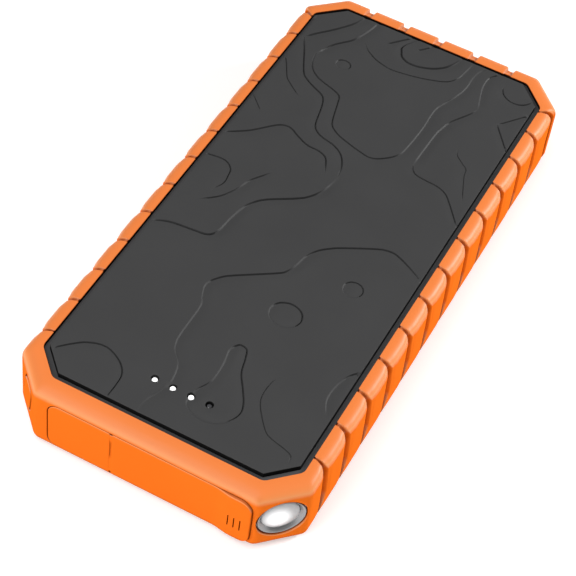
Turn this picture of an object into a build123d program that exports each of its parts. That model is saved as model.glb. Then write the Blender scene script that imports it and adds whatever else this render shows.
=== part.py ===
"""Rugged power bank: a rubber sleeve round a screwed plastic case that holds two pouch cells and a port board.

Frame: X across the width, Y along the length with the sockets at -Y, Z up from the resting face, millimetres.
The origin is the bottom centre of the object.
"""

from build123d import *
import os
from math import sqrt

# ---------------------------------------------------------------- driving dimensions
LIP_HEIGHT = 21.4                     # top lip of the sleeve above the resting face
PANEL_TOP = 22.0                      # relief plate stands a little proud of the lip

# Outlines are rectangles with 45 degree corners: half width, half length, corner cut.
SLEEVE = (42.15, 90.0, 10.0)          # outside of the sleeve
LIP = (37.8, 84.2, 7.5)               # inner edge of the sleeve's top lip
FOOT = (39.4, 87.2, 8.6)              # resting face of the sleeve
BOTTOM_LIP = (36.6, 84.4, 7.2)        # inner edge of the sleeve's bottom lip
CAVITY = (39.3, 87.1, 8.4)            # space inside the sleeve
CASE = (39.0, 86.8, 8.2)              # outside of the plastic case
CASE_INSIDE = (37.2, 85.0, 7.2)
CASE_FOOT = (36.4, 84.2, 7.1)         # part of the case floor that shows between the bottom lips
CASE_RIM = (37.6, 84.0, 7.4)          # rim that stands up inside the top lip
PANEL_POCKET = (36.35, 82.75, 6.9)
PANEL = (36.2, 82.6, 6.8)             # relief plate
GASKET = (38.3, 86.1, 7.8)
GASKET_WIDTH = 0.8

BOTTOM_LIP_THICK = 1.6
CASE_BOTTOM = 0.5                     # the case floor sits above the resting face
FLOOR_TOP = 2.0
CASE_SPLIT = 17.4                     # joint between the tub and the lid
LID_UNDERSIDE = 18.2
LID_SHOULDER = 19.8
RIM_TOP = 20.5

# Sleeve: heights of its rounded top and bottom edges, with how far each ring has moved to the lip.
TOP_BEVEL = ((18.6, 0.0), (20.0, 0.14), (20.7, 0.40), (LIP_HEIGHT, 1.0))
BOTTOM_ROUND = ((0.0, 1.0), (0.9, 0.42), (3.0, 0.0))

# Grip grooves
SIDE_GROOVES = 13
SIDE_GROOVE_PITCH = 12.42
FIRST_SIDE_GROOVE = -72.0             # at half height
SIDE_GROOVE_WIDTH = 1.5
GROOVE_DEPTH = 1.2
GROOVE_LEAN = ((LIP_HEIGHT + 0.6, -1.6), (14.4, 0.4), (2.2, 2.6))   # height, shift along Y
END_NOTCHES = 5
END_NOTCH_PITCH = 11.75
END_NOTCH_WIDTH = 2.4

# Port cover on the -Y face
COVER_THICK = 1.6
COVER_GAP = 0.25
FLAP_X = (-9.3, 31.0)
COVER_Z = (1.6, 18.6)
COVER_CORNER = 3.4                    # the corners beside the fold stay square
FLAP_RIM_INSET = 0.9
FLAP_RIM_WIDTH = 1.0
FLAP_RIM_END = -86.95
GRIP_X = (22.5, 30.0)
GRIP_PROUD = 0.7
GRIP_SLOTS = (24.9, 26.6, 28.3)
ANCHOR_X = (-28.0, -9.7)
ANCHOR_PEG = (6.0, 5.0)               # width and height of the peg that holds it in the case
ANCHOR_PEG_CENTRE = (-18.8, 10.4)

# Sockets
BOARD_TOP = 7.65
BOARD_THICK = 1.2
MOUTH_Y = -86.6                       # front of every socket
USB_A_SIZE = (13.1, 5.7, 13.6)        # width, height, depth of the metal shell
USB_A_X = (8.55, 22.55)
USB_C_SIZE = (8.94, 3.26, 7.6)
USB_C_X = -3.4
SHELL_WALL = 0.35
SOCKET_GAP = 0.15

# Corner units sit in the 45 degree faces beside the -Y end.
CORNER_CENTRE = (SLEEVE[0] - SLEEVE[2] / 2, SLEEVE[1] - SLEEVE[2] / 2)
TORCH_HEIGHT = 11.0
TORCH_APERTURE = 6.85                 # radius
KEY_HEIGHT = 11.3
KEY_SIZE = (6.0, 12.0)                # width and height of the rubber key
KEY_LEAN = 3.0                        # shift of the key's bottom end against its top end
KEY_GAP = 0.3
KEY_FLANGE = 0.8
KEY_TRAVEL = 0.6
KEY_PROUD = 0.2

# Charge windows
WINDOW_COUNT = 4
WINDOW_PITCH = 5.3
WINDOW_Y = -71.2
WINDOW_RADIUS = 1.1
PIPE_RADIUS = 1.0
PIPE_TOP = 21.65

# Cells
CELL_SIZE = (64.0, 134.0, 7.7)
CELL_FAR_END = 82.0
DIVIDER_THICK = 0.8
CELL_NEAR_END = CELL_FAR_END - CELL_SIZE[1]

# Screws
SCREW_PLACES = [(x, y) for x in (-34.4, 34.4) for y in (-48.0, 12.0, 72.0)]
SCREW_RADIUS = 1.0
SCREW_HEAD_RADIUS = 1.8
BOSS_RADIUS = 2.2
LID_BOSS_END = 14.0
BOARD_SCREW_PLACES = [(-19.0, -82.0), (-19.0, -62.5), (26.0, -62.5)]

NEAR = -SLEEVE[1]                     # the socket face


# ---------------------------------------------------------------- helpers
def octagon(outline, height):
    """Rectangle with 45 degree corners, as a face at a height."""
    half_x, half_y, cut = outline
    points = [
        (half_x, half_y - cut), (half_x - cut, half_y), (cut - half_x, half_y), (-half_x, half_y - cut),
        (-half_x, cut - half_y), (cut - half_x, -half_y), (half_x - cut, -half_y), (half_x, cut - half_y),
    ]
    return Pos(0, 0, height) * make_face(Polyline(*points, close=True))


def slab(outline, low, high):
    """Straight block on a cut-corner outline between two heights."""
    return extrude(octagon(outline, low), amount=high - low, dir=(0, 0, 1))


def between(outline_a, outline_b, share):
    """Outline part of the way from one outline to another."""
    return tuple(a + (b - a) * share for a, b in zip(outline_a, outline_b))


def box(x, y, z):
    """Block between two limits on each axis."""
    size = [high - low for low, high in (x, y, z)]
    centre = [(high + low) / 2 for low, high in (x, y, z)]
    return Pos(*centre) * Box(*size)


def peg(place, radius, low, high):
    """Upright cylinder between two heights."""
    return Pos(place[0], place[1], (low + high) / 2) * Cylinder(radius, high - low)


def front_plate(x, z, corner, y_front, y_back):
    """Rounded rectangle in the XZ plane, between two places along Y."""
    plane = Plane(origin=((x[0] + x[1]) / 2, y_front, (z[0] + z[1]) / 2), x_dir=(1, 0, 0), z_dir=(0, -1, 0))
    face = plane * RectangleRounded(x[1] - x[0], z[1] - z[0], corner)
    return extrude(face, amount=y_back - y_front, dir=(0, 1, 0))


def corner_plane(side, height):
    """Plane on a near corner's 45 degree face: local Z points out of the object, local Y up.

    side is +1 for the torch corner and -1 for the key corner.
    """
    x, y = CORNER_CENTRE
    slope = sqrt(0.5)
    return Plane(origin=(side * x, -y, height), x_dir=(slope, side * slope, 0), z_dir=(side * slope, -slope, 0))


def disc(plane, radius, outer_depth, inner_depth, inner_radius=None):
    """Cylinder or cone along a corner plane's axis, between two depths under its face."""
    middle = -(outer_depth + inner_depth) / 2
    height = inner_depth - outer_depth
    if inner_radius is None:
        return plane * Pos(0, 0, middle) * Cylinder(radius, height)
    return plane * Pos(0, 0, middle) * Cone(inner_radius, radius, height)


def wire(points, bend, radius):
    """Round wire along straight runs joined by arcs."""
    path = FilletPolyline(*points, radius=bend)
    return sweep(Plane(origin=path @ 0, z_dir=path % 0) * Circle(radius), path=path)


# ---------------------------------------------------------------- sleeve
def sleeve_form(inset=0.0):
    """Outside of the sleeve with its rounded top and bottom edges, moved inward by an inset."""
    def moved(outline):
        return (outline[0] - inset, outline[1] - inset, outline[2] - 0.59 * inset)

    full = moved(SLEEVE)
    rings = [(z, between(full, moved(FOOT), share)) for z, share in BOTTOM_ROUND]
    rings += [(z - inset * share, between(full, LIP, share)) for z, share in TOP_BEVEL]
    return loft([octagon(outline, z) for z, outline in rings], ruled=True)


def grip_grooves():
    """Leaning grooves of both long sides and the straight notches of the far end."""
    strips = []
    half = SIDE_GROOVE_WIDTH / 2
    for i in range(SIDE_GROOVES):
        y = FIRST_SIDE_GROOVE + SIDE_GROOVE_PITCH * i
        edge = [(y + shift - half, z) for z, shift in GROOVE_LEAN]
        edge += [(y + shift + half, z) for z, shift in reversed(GROOVE_LEAN)]
        face = Plane.YZ * make_face(Polyline(*edge, close=True))
        for low, high in ((LIP[0] + 0.15, SLEEVE[0] + 2), (-SLEEVE[0] - 2, -LIP[0] - 0.15)):
            strips.append(Pos(low, 0, 0) * extrude(face, amount=high - low, dir=(1, 0, 0)))
    for i in range(END_NOTCHES):
        x = (i - (END_NOTCHES - 1) / 2) * END_NOTCH_PITCH
        edges = (x - END_NOTCH_WIDTH / 2, x + END_NOTCH_WIDTH / 2)
        strips.append(box(edges, (LIP[1] + 0.3, SLEEVE[1] + 2), (2.2, LIP_HEIGHT + 1)))
    core = sleeve_form(inset=GROOVE_DEPTH)
    return [strip - core for strip in strips]


def flap_rim_limits(gap):
    """Outside of the sealing rim behind the flap, with a gap round it: its limits along X and Z."""
    inset = FLAP_RIM_INSET - gap
    return (FLAP_X[0] + inset, FLAP_X[1] - inset), (COVER_Z[0] + inset + 1.2, COVER_Z[1] - inset)


def cover_recess():
    """Recess for the whole cover, with an opening in its floor for the flap's sealing rim."""
    x = (ANCHOR_X[0] - COVER_GAP, FLAP_X[1] + COVER_GAP)
    z = (COVER_Z[0] - COVER_GAP, COVER_Z[1] + COVER_GAP)
    recess = front_plate(x, z, COVER_CORNER + COVER_GAP, NEAR - 3, NEAR + COVER_THICK)
    rim_x, rim_z = flap_rim_limits(COVER_GAP)
    corner = COVER_CORNER - FLAP_RIM_INSET + COVER_GAP
    return recess + front_plate(rim_x, rim_z, corner, NEAR, -CAVITY[1] + 0.5)


def anchor_peg_prism(gap, y_back):
    width, height = ANCHOR_PEG
    x, z = ANCHOR_PEG_CENTRE
    return box(
        (x - width / 2 - gap, x + width / 2 + gap), (NEAR + COVER_THICK, y_back),
        (z - height / 2 - gap, z + height / 2 + gap),
    )


def key_prism(grow, outer_depth, inner_depth):
    """The key's leaning pill shape, between two depths under the corner face."""
    plane = corner_plane(-1, KEY_HEIGHT)
    half_height = KEY_SIZE[1] / 2 - KEY_SIZE[0] / 2
    lean = KEY_LEAN / 2 * half_height / (KEY_SIZE[1] / 2)
    ends = [Pos(lean, half_height) * Circle(KEY_SIZE[0] / 2 + grow),
            Pos(-lean, -half_height) * Circle(KEY_SIZE[0] / 2 + grow)]
    face = plane * make_hull((ends[0] + ends[1]).edges())
    solid = extrude(face, amount=inner_depth - outer_depth, dir=-plane.z_dir)
    return Pos(*(plane.z_dir * -outer_depth)) * solid


def outer_bumper():
    body = sleeve_form()
    body -= slab(CAVITY, BOTTOM_LIP_THICK, LID_SHOULDER)
    body -= slab(LIP, LID_SHOULDER - 1, LIP_HEIGHT + 1)
    body -= slab(BOTTOM_LIP, -1, BOTTOM_LIP_THICK + 1)
    body -= cover_recess()
    body -= anchor_peg_prism(COVER_GAP, -CASE[1])
    body -= disc(corner_plane(1, TORCH_HEIGHT), TORCH_APERTURE, -3, 4)
    body -= key_prism(KEY_GAP, -3, 1.65)
    body -= key_prism(KEY_GAP + KEY_FLANGE, 1.65, 4)
    for groove in grip_grooves():
        body -= groove
    return body


# ---------------------------------------------------------------- case
def lower_case():
    """Tub with a floor, walls, screw bosses, board posts and the openings for sockets, torch and key."""
    body = slab(CASE, BOTTOM_LIP_THICK, CASE_SPLIT) + slab(CASE_FOOT, CASE_BOTTOM, BOTTOM_LIP_THICK)
    body -= slab(CASE_INSIDE, FLOOR_TOP, CASE_SPLIT + 1)
    groove_inner = tuple(value - GASKET_WIDTH for value in GASKET[:2]) + (GASKET[2] - 0.47,)
    body -= slab(GASKET, CASE_SPLIT - 0.8, CASE_SPLIT + 1) - slab(groove_inner, CASE_SPLIT - 1, CASE_SPLIT + 2)
    for place in SCREW_PLACES:
        body += peg(place, BOSS_RADIUS, FLOOR_TOP - 0.2, LID_BOSS_END - 0.1)
        body -= peg(place, SCREW_RADIUS + 0.1, CASE_BOTTOM - 1, LID_BOSS_END + 1)
        body -= peg(place, SCREW_HEAD_RADIUS + 0.1, CASE_BOTTOM - 1, FLOOR_TOP + 0.2)
    for place in BOARD_SCREW_PLACES:
        body += peg(place, BOSS_RADIUS, FLOOR_TOP - 0.2, BOARD_TOP - BOARD_THICK)
        body -= peg(place, SCREW_RADIUS + 0.05, FLOOR_TOP + 0.6, BOARD_TOP)
    for x in USB_A_X:
        width, height, depth = USB_A_SIZE
        body -= box((x - width / 2 - SOCKET_GAP, x + width / 2 + SOCKET_GAP), (-CASE[1] - 1, -CASE_INSIDE[1] + 0.5),
                    (BOARD_TOP - SOCKET_GAP, BOARD_TOP + height + SOCKET_GAP))
    width, height, depth = USB_C_SIZE
    body -= box((USB_C_X - width / 2 - SOCKET_GAP, USB_C_X + width / 2 + SOCKET_GAP),
                (-CASE[1] - 1, -CASE_INSIDE[1] + 0.5),
                (BOARD_TOP - SOCKET_GAP, BOARD_TOP + height + SOCKET_GAP))
    body -= anchor_peg_prism(0.1, -CASE_INSIDE[1] + 1)
    body -= disc(corner_plane(1, TORCH_HEIGHT), 5.1, -1, 7)
    body -= disc(corner_plane(-1, KEY_HEIGHT), 2.0, -1, 7)
    return body


def upper_case():
    """Lid with a rim round the relief plate and bosses for the case screws."""
    body = slab(CASE, CASE_SPLIT, LID_SHOULDER) - slab(CASE_INSIDE, CASE_SPLIT - 1, LID_UNDERSIDE)
    body += slab(CASE_RIM, LID_SHOULDER - 0.2, RIM_TOP)
    body -= slab(PANEL_POCKET, LID_SHOULDER, RIM_TOP + 1)
    for place in SCREW_PLACES:
        body += peg(place, BOSS_RADIUS, LID_BOSS_END, LID_UNDERSIDE + 0.5)
        body -= peg(place, SCREW_RADIUS + 0.05, LID_BOSS_END - 1, LID_UNDERSIDE + 0.7)
    for x in window_places():
        body -= peg((x, WINDOW_Y), WINDOW_RADIUS, LID_UNDERSIDE - 1, LID_SHOULDER + 1)
    return body


def top_panel():
    """Relief plate with its main hollows; the fine relief lines are shallower than 0.3 mm."""
    body = slab(PANEL, LID_SHOULDER, PANEL_TOP)
    top = body.faces().sort_by(Axis.Z)[-1]
    body = chamfer(top.edges(), 0.3)
    for centre, radius_x, radius_y in (((21.9, -17.5), 3.0, 3.0), ((10.6, -34.9), 4.8, 4.4), ((-19.8, 60.1), 2.5, 2.5)):
        pit = Pos(centre[0], centre[1], PANEL_TOP - 0.3) * Ellipse(radius_x, radius_y)
        body -= extrude(pit, amount=1.0, dir=(0, 0, 1))
    pear = Spline((2.1, -72.4), (4.6, -61.8), (3.8, -51.8), (5.8, -49.8), (8.9, -53.6), (15.2, -66.1),
                  (15.2, -72.4), (9.3, -76.6), periodic=True)
    body -= extrude(Pos(0, 0, PANEL_TOP - 0.3) * make_face(pear), amount=1.0, dir=(0, 0, 1))
    for x in window_places():
        body -= peg((x, WINDOW_Y), WINDOW_RADIUS, LID_SHOULDER - 1, PANEL_TOP + 1)
    return body


def case_gasket():
    inner = tuple(value - GASKET_WIDTH + 0.1 for value in GASKET[:2]) + (GASKET[2] - 0.4,)
    outer = tuple(value - 0.1 for value in GASKET[:2]) + (GASKET[2] - 0.06,)
    return slab(outer, CASE_SPLIT - 0.8, CASE_SPLIT) - slab(inner, CASE_SPLIT - 1, CASE_SPLIT + 1)


def pan_screw(place, head_low, head_high, tip):
    """Pan screw with a cross recess; the head is between two heights and the shank runs to the tip."""
    body = peg(place, SCREW_HEAD_RADIUS, head_low, head_high)
    above = tip > head_high
    body += peg(place, SCREW_RADIUS, *((head_high, tip) if above else (tip, head_low)))
    recess_z = (head_low - 0.1, head_low + 0.6) if above else (head_high - 0.6, head_high + 0.1)
    x, y = place
    body -= box((x - 0.9, x + 0.9), (y - 0.2, y + 0.2), recess_z)
    body -= box((x - 0.2, x + 0.2), (y - 0.9, y + 0.9), recess_z)
    return body


def case_screws():
    return [pan_screw(place, CASE_BOTTOM + 0.3, FLOOR_TOP + 0.2, LID_UNDERSIDE + 0.4)
            for place in SCREW_PLACES]


# ---------------------------------------------------------------- cells
def pouch(low):
    body = box((-CELL_SIZE[0] / 2, CELL_SIZE[0] / 2), (CELL_NEAR_END, CELL_FAR_END), (low, low + CELL_SIZE[2]))
    return fillet(body.edges().filter_by(Axis.Y), 1.8)


def cell_divider_pad():
    low = FLOOR_TOP + CELL_SIZE[2]
    return box((-30, 30), (CELL_NEAR_END + 4, CELL_FAR_END - 4), (low, low + DIVIDER_THICK))


def cell_end_pad():
    return box((-28, 28), (CELL_FAR_END, CASE_INSIDE[1]), (FLOOR_TOP + 1, LID_UNDERSIDE - 1))


TAB_THICK = 0.2
TAB_HEIGHTS = (FLOOR_TOP + CELL_SIZE[2] / 2, LID_UNDERSIDE - CELL_SIZE[2] / 2)
PROTECTION_BOARD_Y = (-57.0, -56.0)


def cell_tabs():
    return [box((x - 4, x + 4), (PROTECTION_BOARD_Y[1], CELL_NEAR_END), (z - TAB_THICK / 2, z + TAB_THICK / 2))
            for z in TAB_HEIGHTS for x in (-15.0, 15.0)]


def protection_board():
    return box((-23, 23), PROTECTION_BOARD_Y, (4.2, 16.0))


def protection_chips():
    front = PROTECTION_BOARD_Y[0]
    return [box((x - 2.5, x + 2.5), (front - 1.1, front), (10.5, 14.5)) for x in (-16.0, -9.0, 9.0, 16.0)]


# ---------------------------------------------------------------- board
def main_board():
    body = box((-22.0, 29.0), (-84.6, -59.6), (BOARD_TOP - BOARD_THICK, BOARD_TOP))
    for place in BOARD_SCREW_PLACES:
        body -= peg(place, SCREW_RADIUS + 0.1, 0, BOARD_TOP + 1)
    return body


def board_screws():
    return [pan_screw(place, BOARD_TOP, BOARD_TOP + 1.2, FLOOR_TOP + 1.2)
            for place in BOARD_SCREW_PLACES]


def usb_a_shell(x):
    width, height, depth = USB_A_SIZE
    z = (BOARD_TOP, BOARD_TOP + height)
    body = box((x - width / 2, x + width / 2), (MOUTH_Y, MOUTH_Y + depth), z)
    body -= box((x - width / 2 + SHELL_WALL, x + width / 2 - SHELL_WALL), (MOUTH_Y - 1, MOUTH_Y + depth - SHELL_WALL),
                (z[0] + SHELL_WALL, z[1] - SHELL_WALL))
    for latch in (-3.0, 3.0):
        body -= box((x + latch - 1.2, x + latch + 1.2), (MOUTH_Y + 5, MOUTH_Y + 8), (z[1] - 1, z[1] + 1))
    return body


def usb_a_tongue(x):
    """Contact tongue with four spring contacts on its underside, held by a block at the back."""
    back = MOUTH_Y + USB_A_SIZE[2] - SHELL_WALL
    z = (BOARD_TOP + SHELL_WALL, BOARD_TOP + USB_A_SIZE[1] - SHELL_WALL)
    half = USB_A_SIZE[0] / 2 - SHELL_WALL - 0.1
    body = box((x - half, x + half), (back - 3.2, back), z)
    body += box((x - 5.6, x + 5.6), (MOUTH_Y + 1.0, back), (z[1] - 2.4, z[1] - 0.6))
    for contact in (-3.5, -1.0, 1.0, 3.5):
        body += box((x + contact - 0.5, x + contact + 0.5), (MOUTH_Y + 2.0, back - 3.4), (z[1] - 2.6, z[1] - 2.4))
    return body


def usb_c_stadium(grow, front, back):
    width, height, depth = USB_C_SIZE
    z = BOARD_TOP + height / 2
    return front_plate((USB_C_X - width / 2 - grow, USB_C_X + width / 2 + grow),
                       (z - height / 2 - grow, z + height / 2 + grow), height / 2 + grow - 0.01, front, back)


def usb_c_shell():
    back = MOUTH_Y + USB_C_SIZE[2]
    return usb_c_stadium(0, MOUTH_Y, back) - usb_c_stadium(-SHELL_WALL, MOUTH_Y - 1, back - SHELL_WALL)


def usb_c_tongue():
    back = MOUTH_Y + USB_C_SIZE[2] - SHELL_WALL
    z = BOARD_TOP + USB_C_SIZE[1] / 2
    body = box((USB_C_X - 3.3, USB_C_X + 3.3), (MOUTH_Y + 0.8, back), (z - 0.35, z + 0.35))
    body += usb_c_stadium(-SHELL_WALL - 0.05, back - 1.4, back)
    return body


def inductors():
    """Two square power chokes with a round winding on top."""
    coils = []
    for x in (-10.0, 17.5):
        base = box((x - 3.5, x + 3.5), (-68.5, -61.5), (BOARD_TOP, BOARD_TOP + 3.2))
        base = chamfer(base.edges().filter_by(Axis.Z), 0.8)
        coils.append(base + peg((x, -65.0), 2.8, BOARD_TOP + 3.2, BOARD_TOP + 3.8))
    return coils


def capacitors():
    cans = []
    for x in (-3.0, 9.5):
        can = peg((x, -64.0), 2.5, BOARD_TOP, BOARD_TOP + 5.8)
        cans.append(fillet(can.faces().sort_by(Axis.Z)[-1].edges(), 0.4))
    return cans


def control_chips():
    places = ((3.2, -66.5, 2.0, 2.0), (3.2, -61.8, 1.6, 1.3), (-15.5, -76.0, 3.0, 3.0), (23.5, -68.5, 1.5, 1.8))
    return [box((x - a, x + a), (y - b, y + b), (BOARD_TOP, BOARD_TOP + 0.9)) for x, y, a, b in places]


def window_places():
    return [(i - (WINDOW_COUNT - 1) / 2) * WINDOW_PITCH for i in range(WINDOW_COUNT)]


def charge_leds():
    return [box((x - 0.8, x + 0.8), (WINDOW_Y - 0.4, WINDOW_Y + 0.4), (BOARD_TOP, BOARD_TOP + 0.7))
            for x in window_places()]


def light_pipe(x):
    """Clear rod from an LED to its window, with a collar under the lid."""
    place = (x, WINDOW_Y)
    return peg(place, PIPE_RADIUS, BOARD_TOP + 0.9, PIPE_TOP) + peg(place, 1.5, LID_UNDERSIDE - 1.2, LID_UNDERSIDE)


# ---------------------------------------------------------------- torch
TORCH = corner_plane(1, TORCH_HEIGHT)
CASE_FACE_DEPTH = (sum(SLEEVE[:2]) - SLEEVE[2] - sum(CASE[:2]) + CASE[2]) * sqrt(0.5)
BEZEL_FACE = 0.3
LENS_SEAT = 1.9
LENS_RADIUS = 4.75


def torch_bezel():
    body = disc(TORCH, TORCH_APERTURE - 0.05, BEZEL_FACE, 2.6) + disc(TORCH, 5.0, 2.6, 5.2)
    body -= disc(TORCH, TORCH_APERTURE - 0.45, BEZEL_FACE, LENS_SEAT, LENS_RADIUS + 0.05)
    body -= disc(TORCH, LENS_RADIUS + 0.05, LENS_SEAT - 0.1, 2.9)
    body -= disc(TORCH, 4.55, 2.8, 6)
    return body


def torch_seal_ring():
    return disc(TORCH, 6.7, 2.6, CASE_FACE_DEPTH) - disc(TORCH, 5.05, 2, 4)


def torch_lens():
    """Disc with a domed front."""
    sag = 1.3
    ball_radius = (LENS_RADIUS ** 2 + sag ** 2) / (2 * sag)
    ball = TORCH * Pos(0, 0, -LENS_SEAT + sag - ball_radius) * Sphere(ball_radius)
    return disc(TORCH, LENS_RADIUS, LENS_SEAT - 2, 2.9) & (ball + disc(TORCH, LENS_RADIUS, LENS_SEAT, 2.9))


def torch_reflector():
    """Bowl that widens from the LED to the lens."""
    body = disc(TORCH, 4.5, 2.9, 5.5, 2.4) + disc(TORCH, 4.5, 2.9, 3.3)
    return body - disc(TORCH, 4.0, 2.9, 5.5, 1.9)


def torch_led():
    body = disc(TORCH, 1.3, 5.2, 5.5)
    return body + TORCH * Pos(0, 0, -5.75) * Box(3.2, 3.2, 0.5)


def torch_board():
    return TORCH * Pos(0, 0, -6.4) * Box(6.4, 9.0, 0.8)


# ---------------------------------------------------------------- key and switch
KEY = corner_plane(-1, KEY_HEIGHT)
KEY_BACK = 2.4
PLUNGER_FRONT = 6.0
SWITCH_FRONT = 6.9
SWITCH_BACK = 10.4


def power_button():
    """Rubber key: leaning pill with a hidden flange and a post that reaches the switch."""
    body = key_prism(0, -KEY_PROUD, 1.8)
    front = body.faces().sort_by(Axis(KEY.origin, KEY.z_dir))[-1]
    body = fillet(front.edges(), 0.6)
    body += key_prism(KEY_FLANGE, 1.65, KEY_BACK)
    return body + disc(KEY, 1.5, KEY_BACK, PLUNGER_FRONT)


def button_plunger():
    return disc(KEY, 1.0, PLUNGER_FRONT, SWITCH_FRONT + 0.6)


def button_switch():
    body = KEY * Pos(0, 0, -(SWITCH_FRONT + SWITCH_BACK) / 2) * Box(6.0, 6.0, SWITCH_BACK - SWITCH_FRONT)
    return body - disc(KEY, 1.06, SWITCH_FRONT - 1, SWITCH_FRONT + 1.6)


def button_board():
    return KEY * Pos(0, 0, -SWITCH_BACK - 0.5) * Box(8.0, 10.0, 1.0)


# ---------------------------------------------------------------- port cover
def cover_skin():
    """The whole cover's skin before it is parted at the fold; it follows the rounded lower edge."""
    plate = front_plate((ANCHOR_X[0], FLAP_X[1]), COVER_Z, COVER_CORNER, NEAR - 1, NEAR + COVER_THICK)
    return plate & sleeve_form()


def port_flap():
    """Hinged part of the cover: skin that follows the sleeve, grip end with slots, sealing rim behind."""
    skin = cover_skin() & box((FLAP_X[0], FLAP_X[1] + 1), (NEAR - 1, NEAR + 5), COVER_Z)
    grip = front_plate(GRIP_X, (COVER_Z[0] + 0.6, COVER_Z[1] - 1.2), 2.0, NEAR - GRIP_PROUD, NEAR + 1)
    grip = chamfer(grip.faces().sort_by(Axis.Y)[0].edges(), 0.5)
    body = skin + grip
    for x in GRIP_SLOTS:
        body -= box((x - 0.25, x + 0.25), (NEAR - 2, NEAR + 0.2), (6.0, 11.0))
    rim_x, rim_z = flap_rim_limits(0)
    corner = COVER_CORNER - FLAP_RIM_INSET
    rim = front_plate(rim_x, rim_z, corner, NEAR + COVER_THICK - 0.3, FLAP_RIM_END)
    width = FLAP_RIM_WIDTH
    rim -= front_plate((rim_x[0] + width, rim_x[1] - width), (rim_z[0] + width, rim_z[1] - width),
                       corner - width, NEAR, FLAP_RIM_END + 1)
    return body + rim


def cover_anchor():
    """Fixed part of the cover, held by a peg that passes through the case wall."""
    body = cover_skin() & box((ANCHOR_X[0] - 1, ANCHOR_X[1]), (NEAR - 1, NEAR + 5), COVER_Z)
    return body + anchor_peg_prism(0, -CASE_INSIDE[1])


# ---------------------------------------------------------------- leads
def battery_leads():
    front = PROTECTION_BOARD_Y[0]
    return [wire([(x, front, 9.2), (x, -60.9, 9.2), (x, -60.9, BOARD_TOP)], 0.9, 0.6) for x in (5.9, 13.0)]


def torch_leads():
    back = TORCH.origin - TORCH.z_dir * 6.8
    runs = []
    for height, end in ((11.0, -71.0), (12.6, -69.5)):
        points = [(back.X, back.Y, height), (30.6, -78.45, height), (30.6, end, height), (27.0, end, height),
                  (27.0, end, BOARD_TOP)]
        runs.append(wire(points, 0.8, 0.45))
    return runs


def button_leads():
    back = KEY.origin - KEY.z_dir * (SWITCH_BACK + 1.0)
    runs = []
    for height, end in ((10.5, -73.0), (12.1, -71.5)):
        points = [(back.X, back.Y, height), (-26.6, -74.45, height), (-26.6, end + 1.6, height),
                  (-18.0, end + 1.6, height), (-18.0, end + 1.6, BOARD_TOP)]
        runs.append(wire(points, 0.6, 0.45))
    return runs


# ---------------------------------------------------------------- nodes
def build_all():
    upper_cell_low = FLOOR_TOP + CELL_SIZE[2] + DIVIDER_THICK
    windows = window_places()
    return {
        "outer_bumper": outer_bumper(),
        "lower_case": lower_case(),
        "upper_case": upper_case(),
        "top_panel": top_panel(),
        "case_gasket": case_gasket(),
        "case_screws": case_screws(),
        "battery_cell_lower": pouch(FLOOR_TOP),
        "battery_cell_upper": pouch(upper_cell_low),
        "cell_divider_pad": cell_divider_pad(),
        "cell_end_pad": cell_end_pad(),
        "cell_tabs": cell_tabs(),
        "protection_board": protection_board(),
        "protection_chips": protection_chips(),
        "main_board": main_board(),
        "board_screws": board_screws(),
        "usb_a_shells": [usb_a_shell(x) for x in USB_A_X],
        "usb_a_tongues": [usb_a_tongue(x) for x in USB_A_X],
        "usb_c_shell": usb_c_shell(),
        "usb_c_tongue": usb_c_tongue(),
        "power_inductors": inductors(),
        "board_capacitors": capacitors(),
        "control_chips": control_chips(),
        "charge_leds": charge_leds(),
        "charge_light_pipes": [light_pipe(x) for x in windows[:-1]],
        "full_charge_light_pipe": light_pipe(windows[-1]),
        "torch_bezel": torch_bezel(),
        "torch_seal_ring": torch_seal_ring(),
        "torch_lens": torch_lens(),
        "torch_reflector": torch_reflector(),
        "torch_led": torch_led(),
        "torch_board": torch_board(),
        "power_button": power_button(),
        "button_plunger": button_plunger(),
        "button_switch": button_switch(),
        "button_board": button_board(),
        "port_flap": port_flap(),
        "cover_anchor": cover_anchor(),
        "battery_leads": battery_leads(),
        "torch_leads": torch_leads(),
        "button_leads": button_leads(),
    }


def main():
    os.makedirs("parts", exist_ok=True)
    for name, shape in build_all().items():
        if isinstance(shape, list):
            shape = Compound(children=[solid for item in shape for solid in item.solids()])
        export_step(shape, f"parts/{name}.step")


main()
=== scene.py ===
"""Looks of a rugged power bank. Lengths are in millimetres until a mesh is made."""
import math

import bmesh
import bpy
import numpy as np
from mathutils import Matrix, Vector
from mathutils.geometry import delaunay_2d_cdt


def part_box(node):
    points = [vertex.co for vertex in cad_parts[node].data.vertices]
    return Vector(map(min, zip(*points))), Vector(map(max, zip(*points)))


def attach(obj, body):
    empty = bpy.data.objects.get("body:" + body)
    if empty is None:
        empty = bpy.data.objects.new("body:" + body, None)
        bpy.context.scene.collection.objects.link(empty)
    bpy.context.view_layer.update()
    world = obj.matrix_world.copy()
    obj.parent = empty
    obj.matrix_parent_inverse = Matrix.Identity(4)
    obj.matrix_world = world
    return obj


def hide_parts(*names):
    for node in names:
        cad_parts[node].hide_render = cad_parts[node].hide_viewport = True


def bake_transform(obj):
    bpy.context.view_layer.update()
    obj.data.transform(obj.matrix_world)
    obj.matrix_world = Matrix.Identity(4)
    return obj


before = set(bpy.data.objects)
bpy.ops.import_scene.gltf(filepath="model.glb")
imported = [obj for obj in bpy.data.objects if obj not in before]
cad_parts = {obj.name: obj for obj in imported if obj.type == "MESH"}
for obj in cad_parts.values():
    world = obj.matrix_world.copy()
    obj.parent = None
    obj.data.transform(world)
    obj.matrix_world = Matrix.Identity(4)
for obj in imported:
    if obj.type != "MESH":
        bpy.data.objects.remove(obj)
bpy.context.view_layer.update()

MM = 0.001
WHITE = (1.0, 1.0, 1.0, 1.0)


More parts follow.
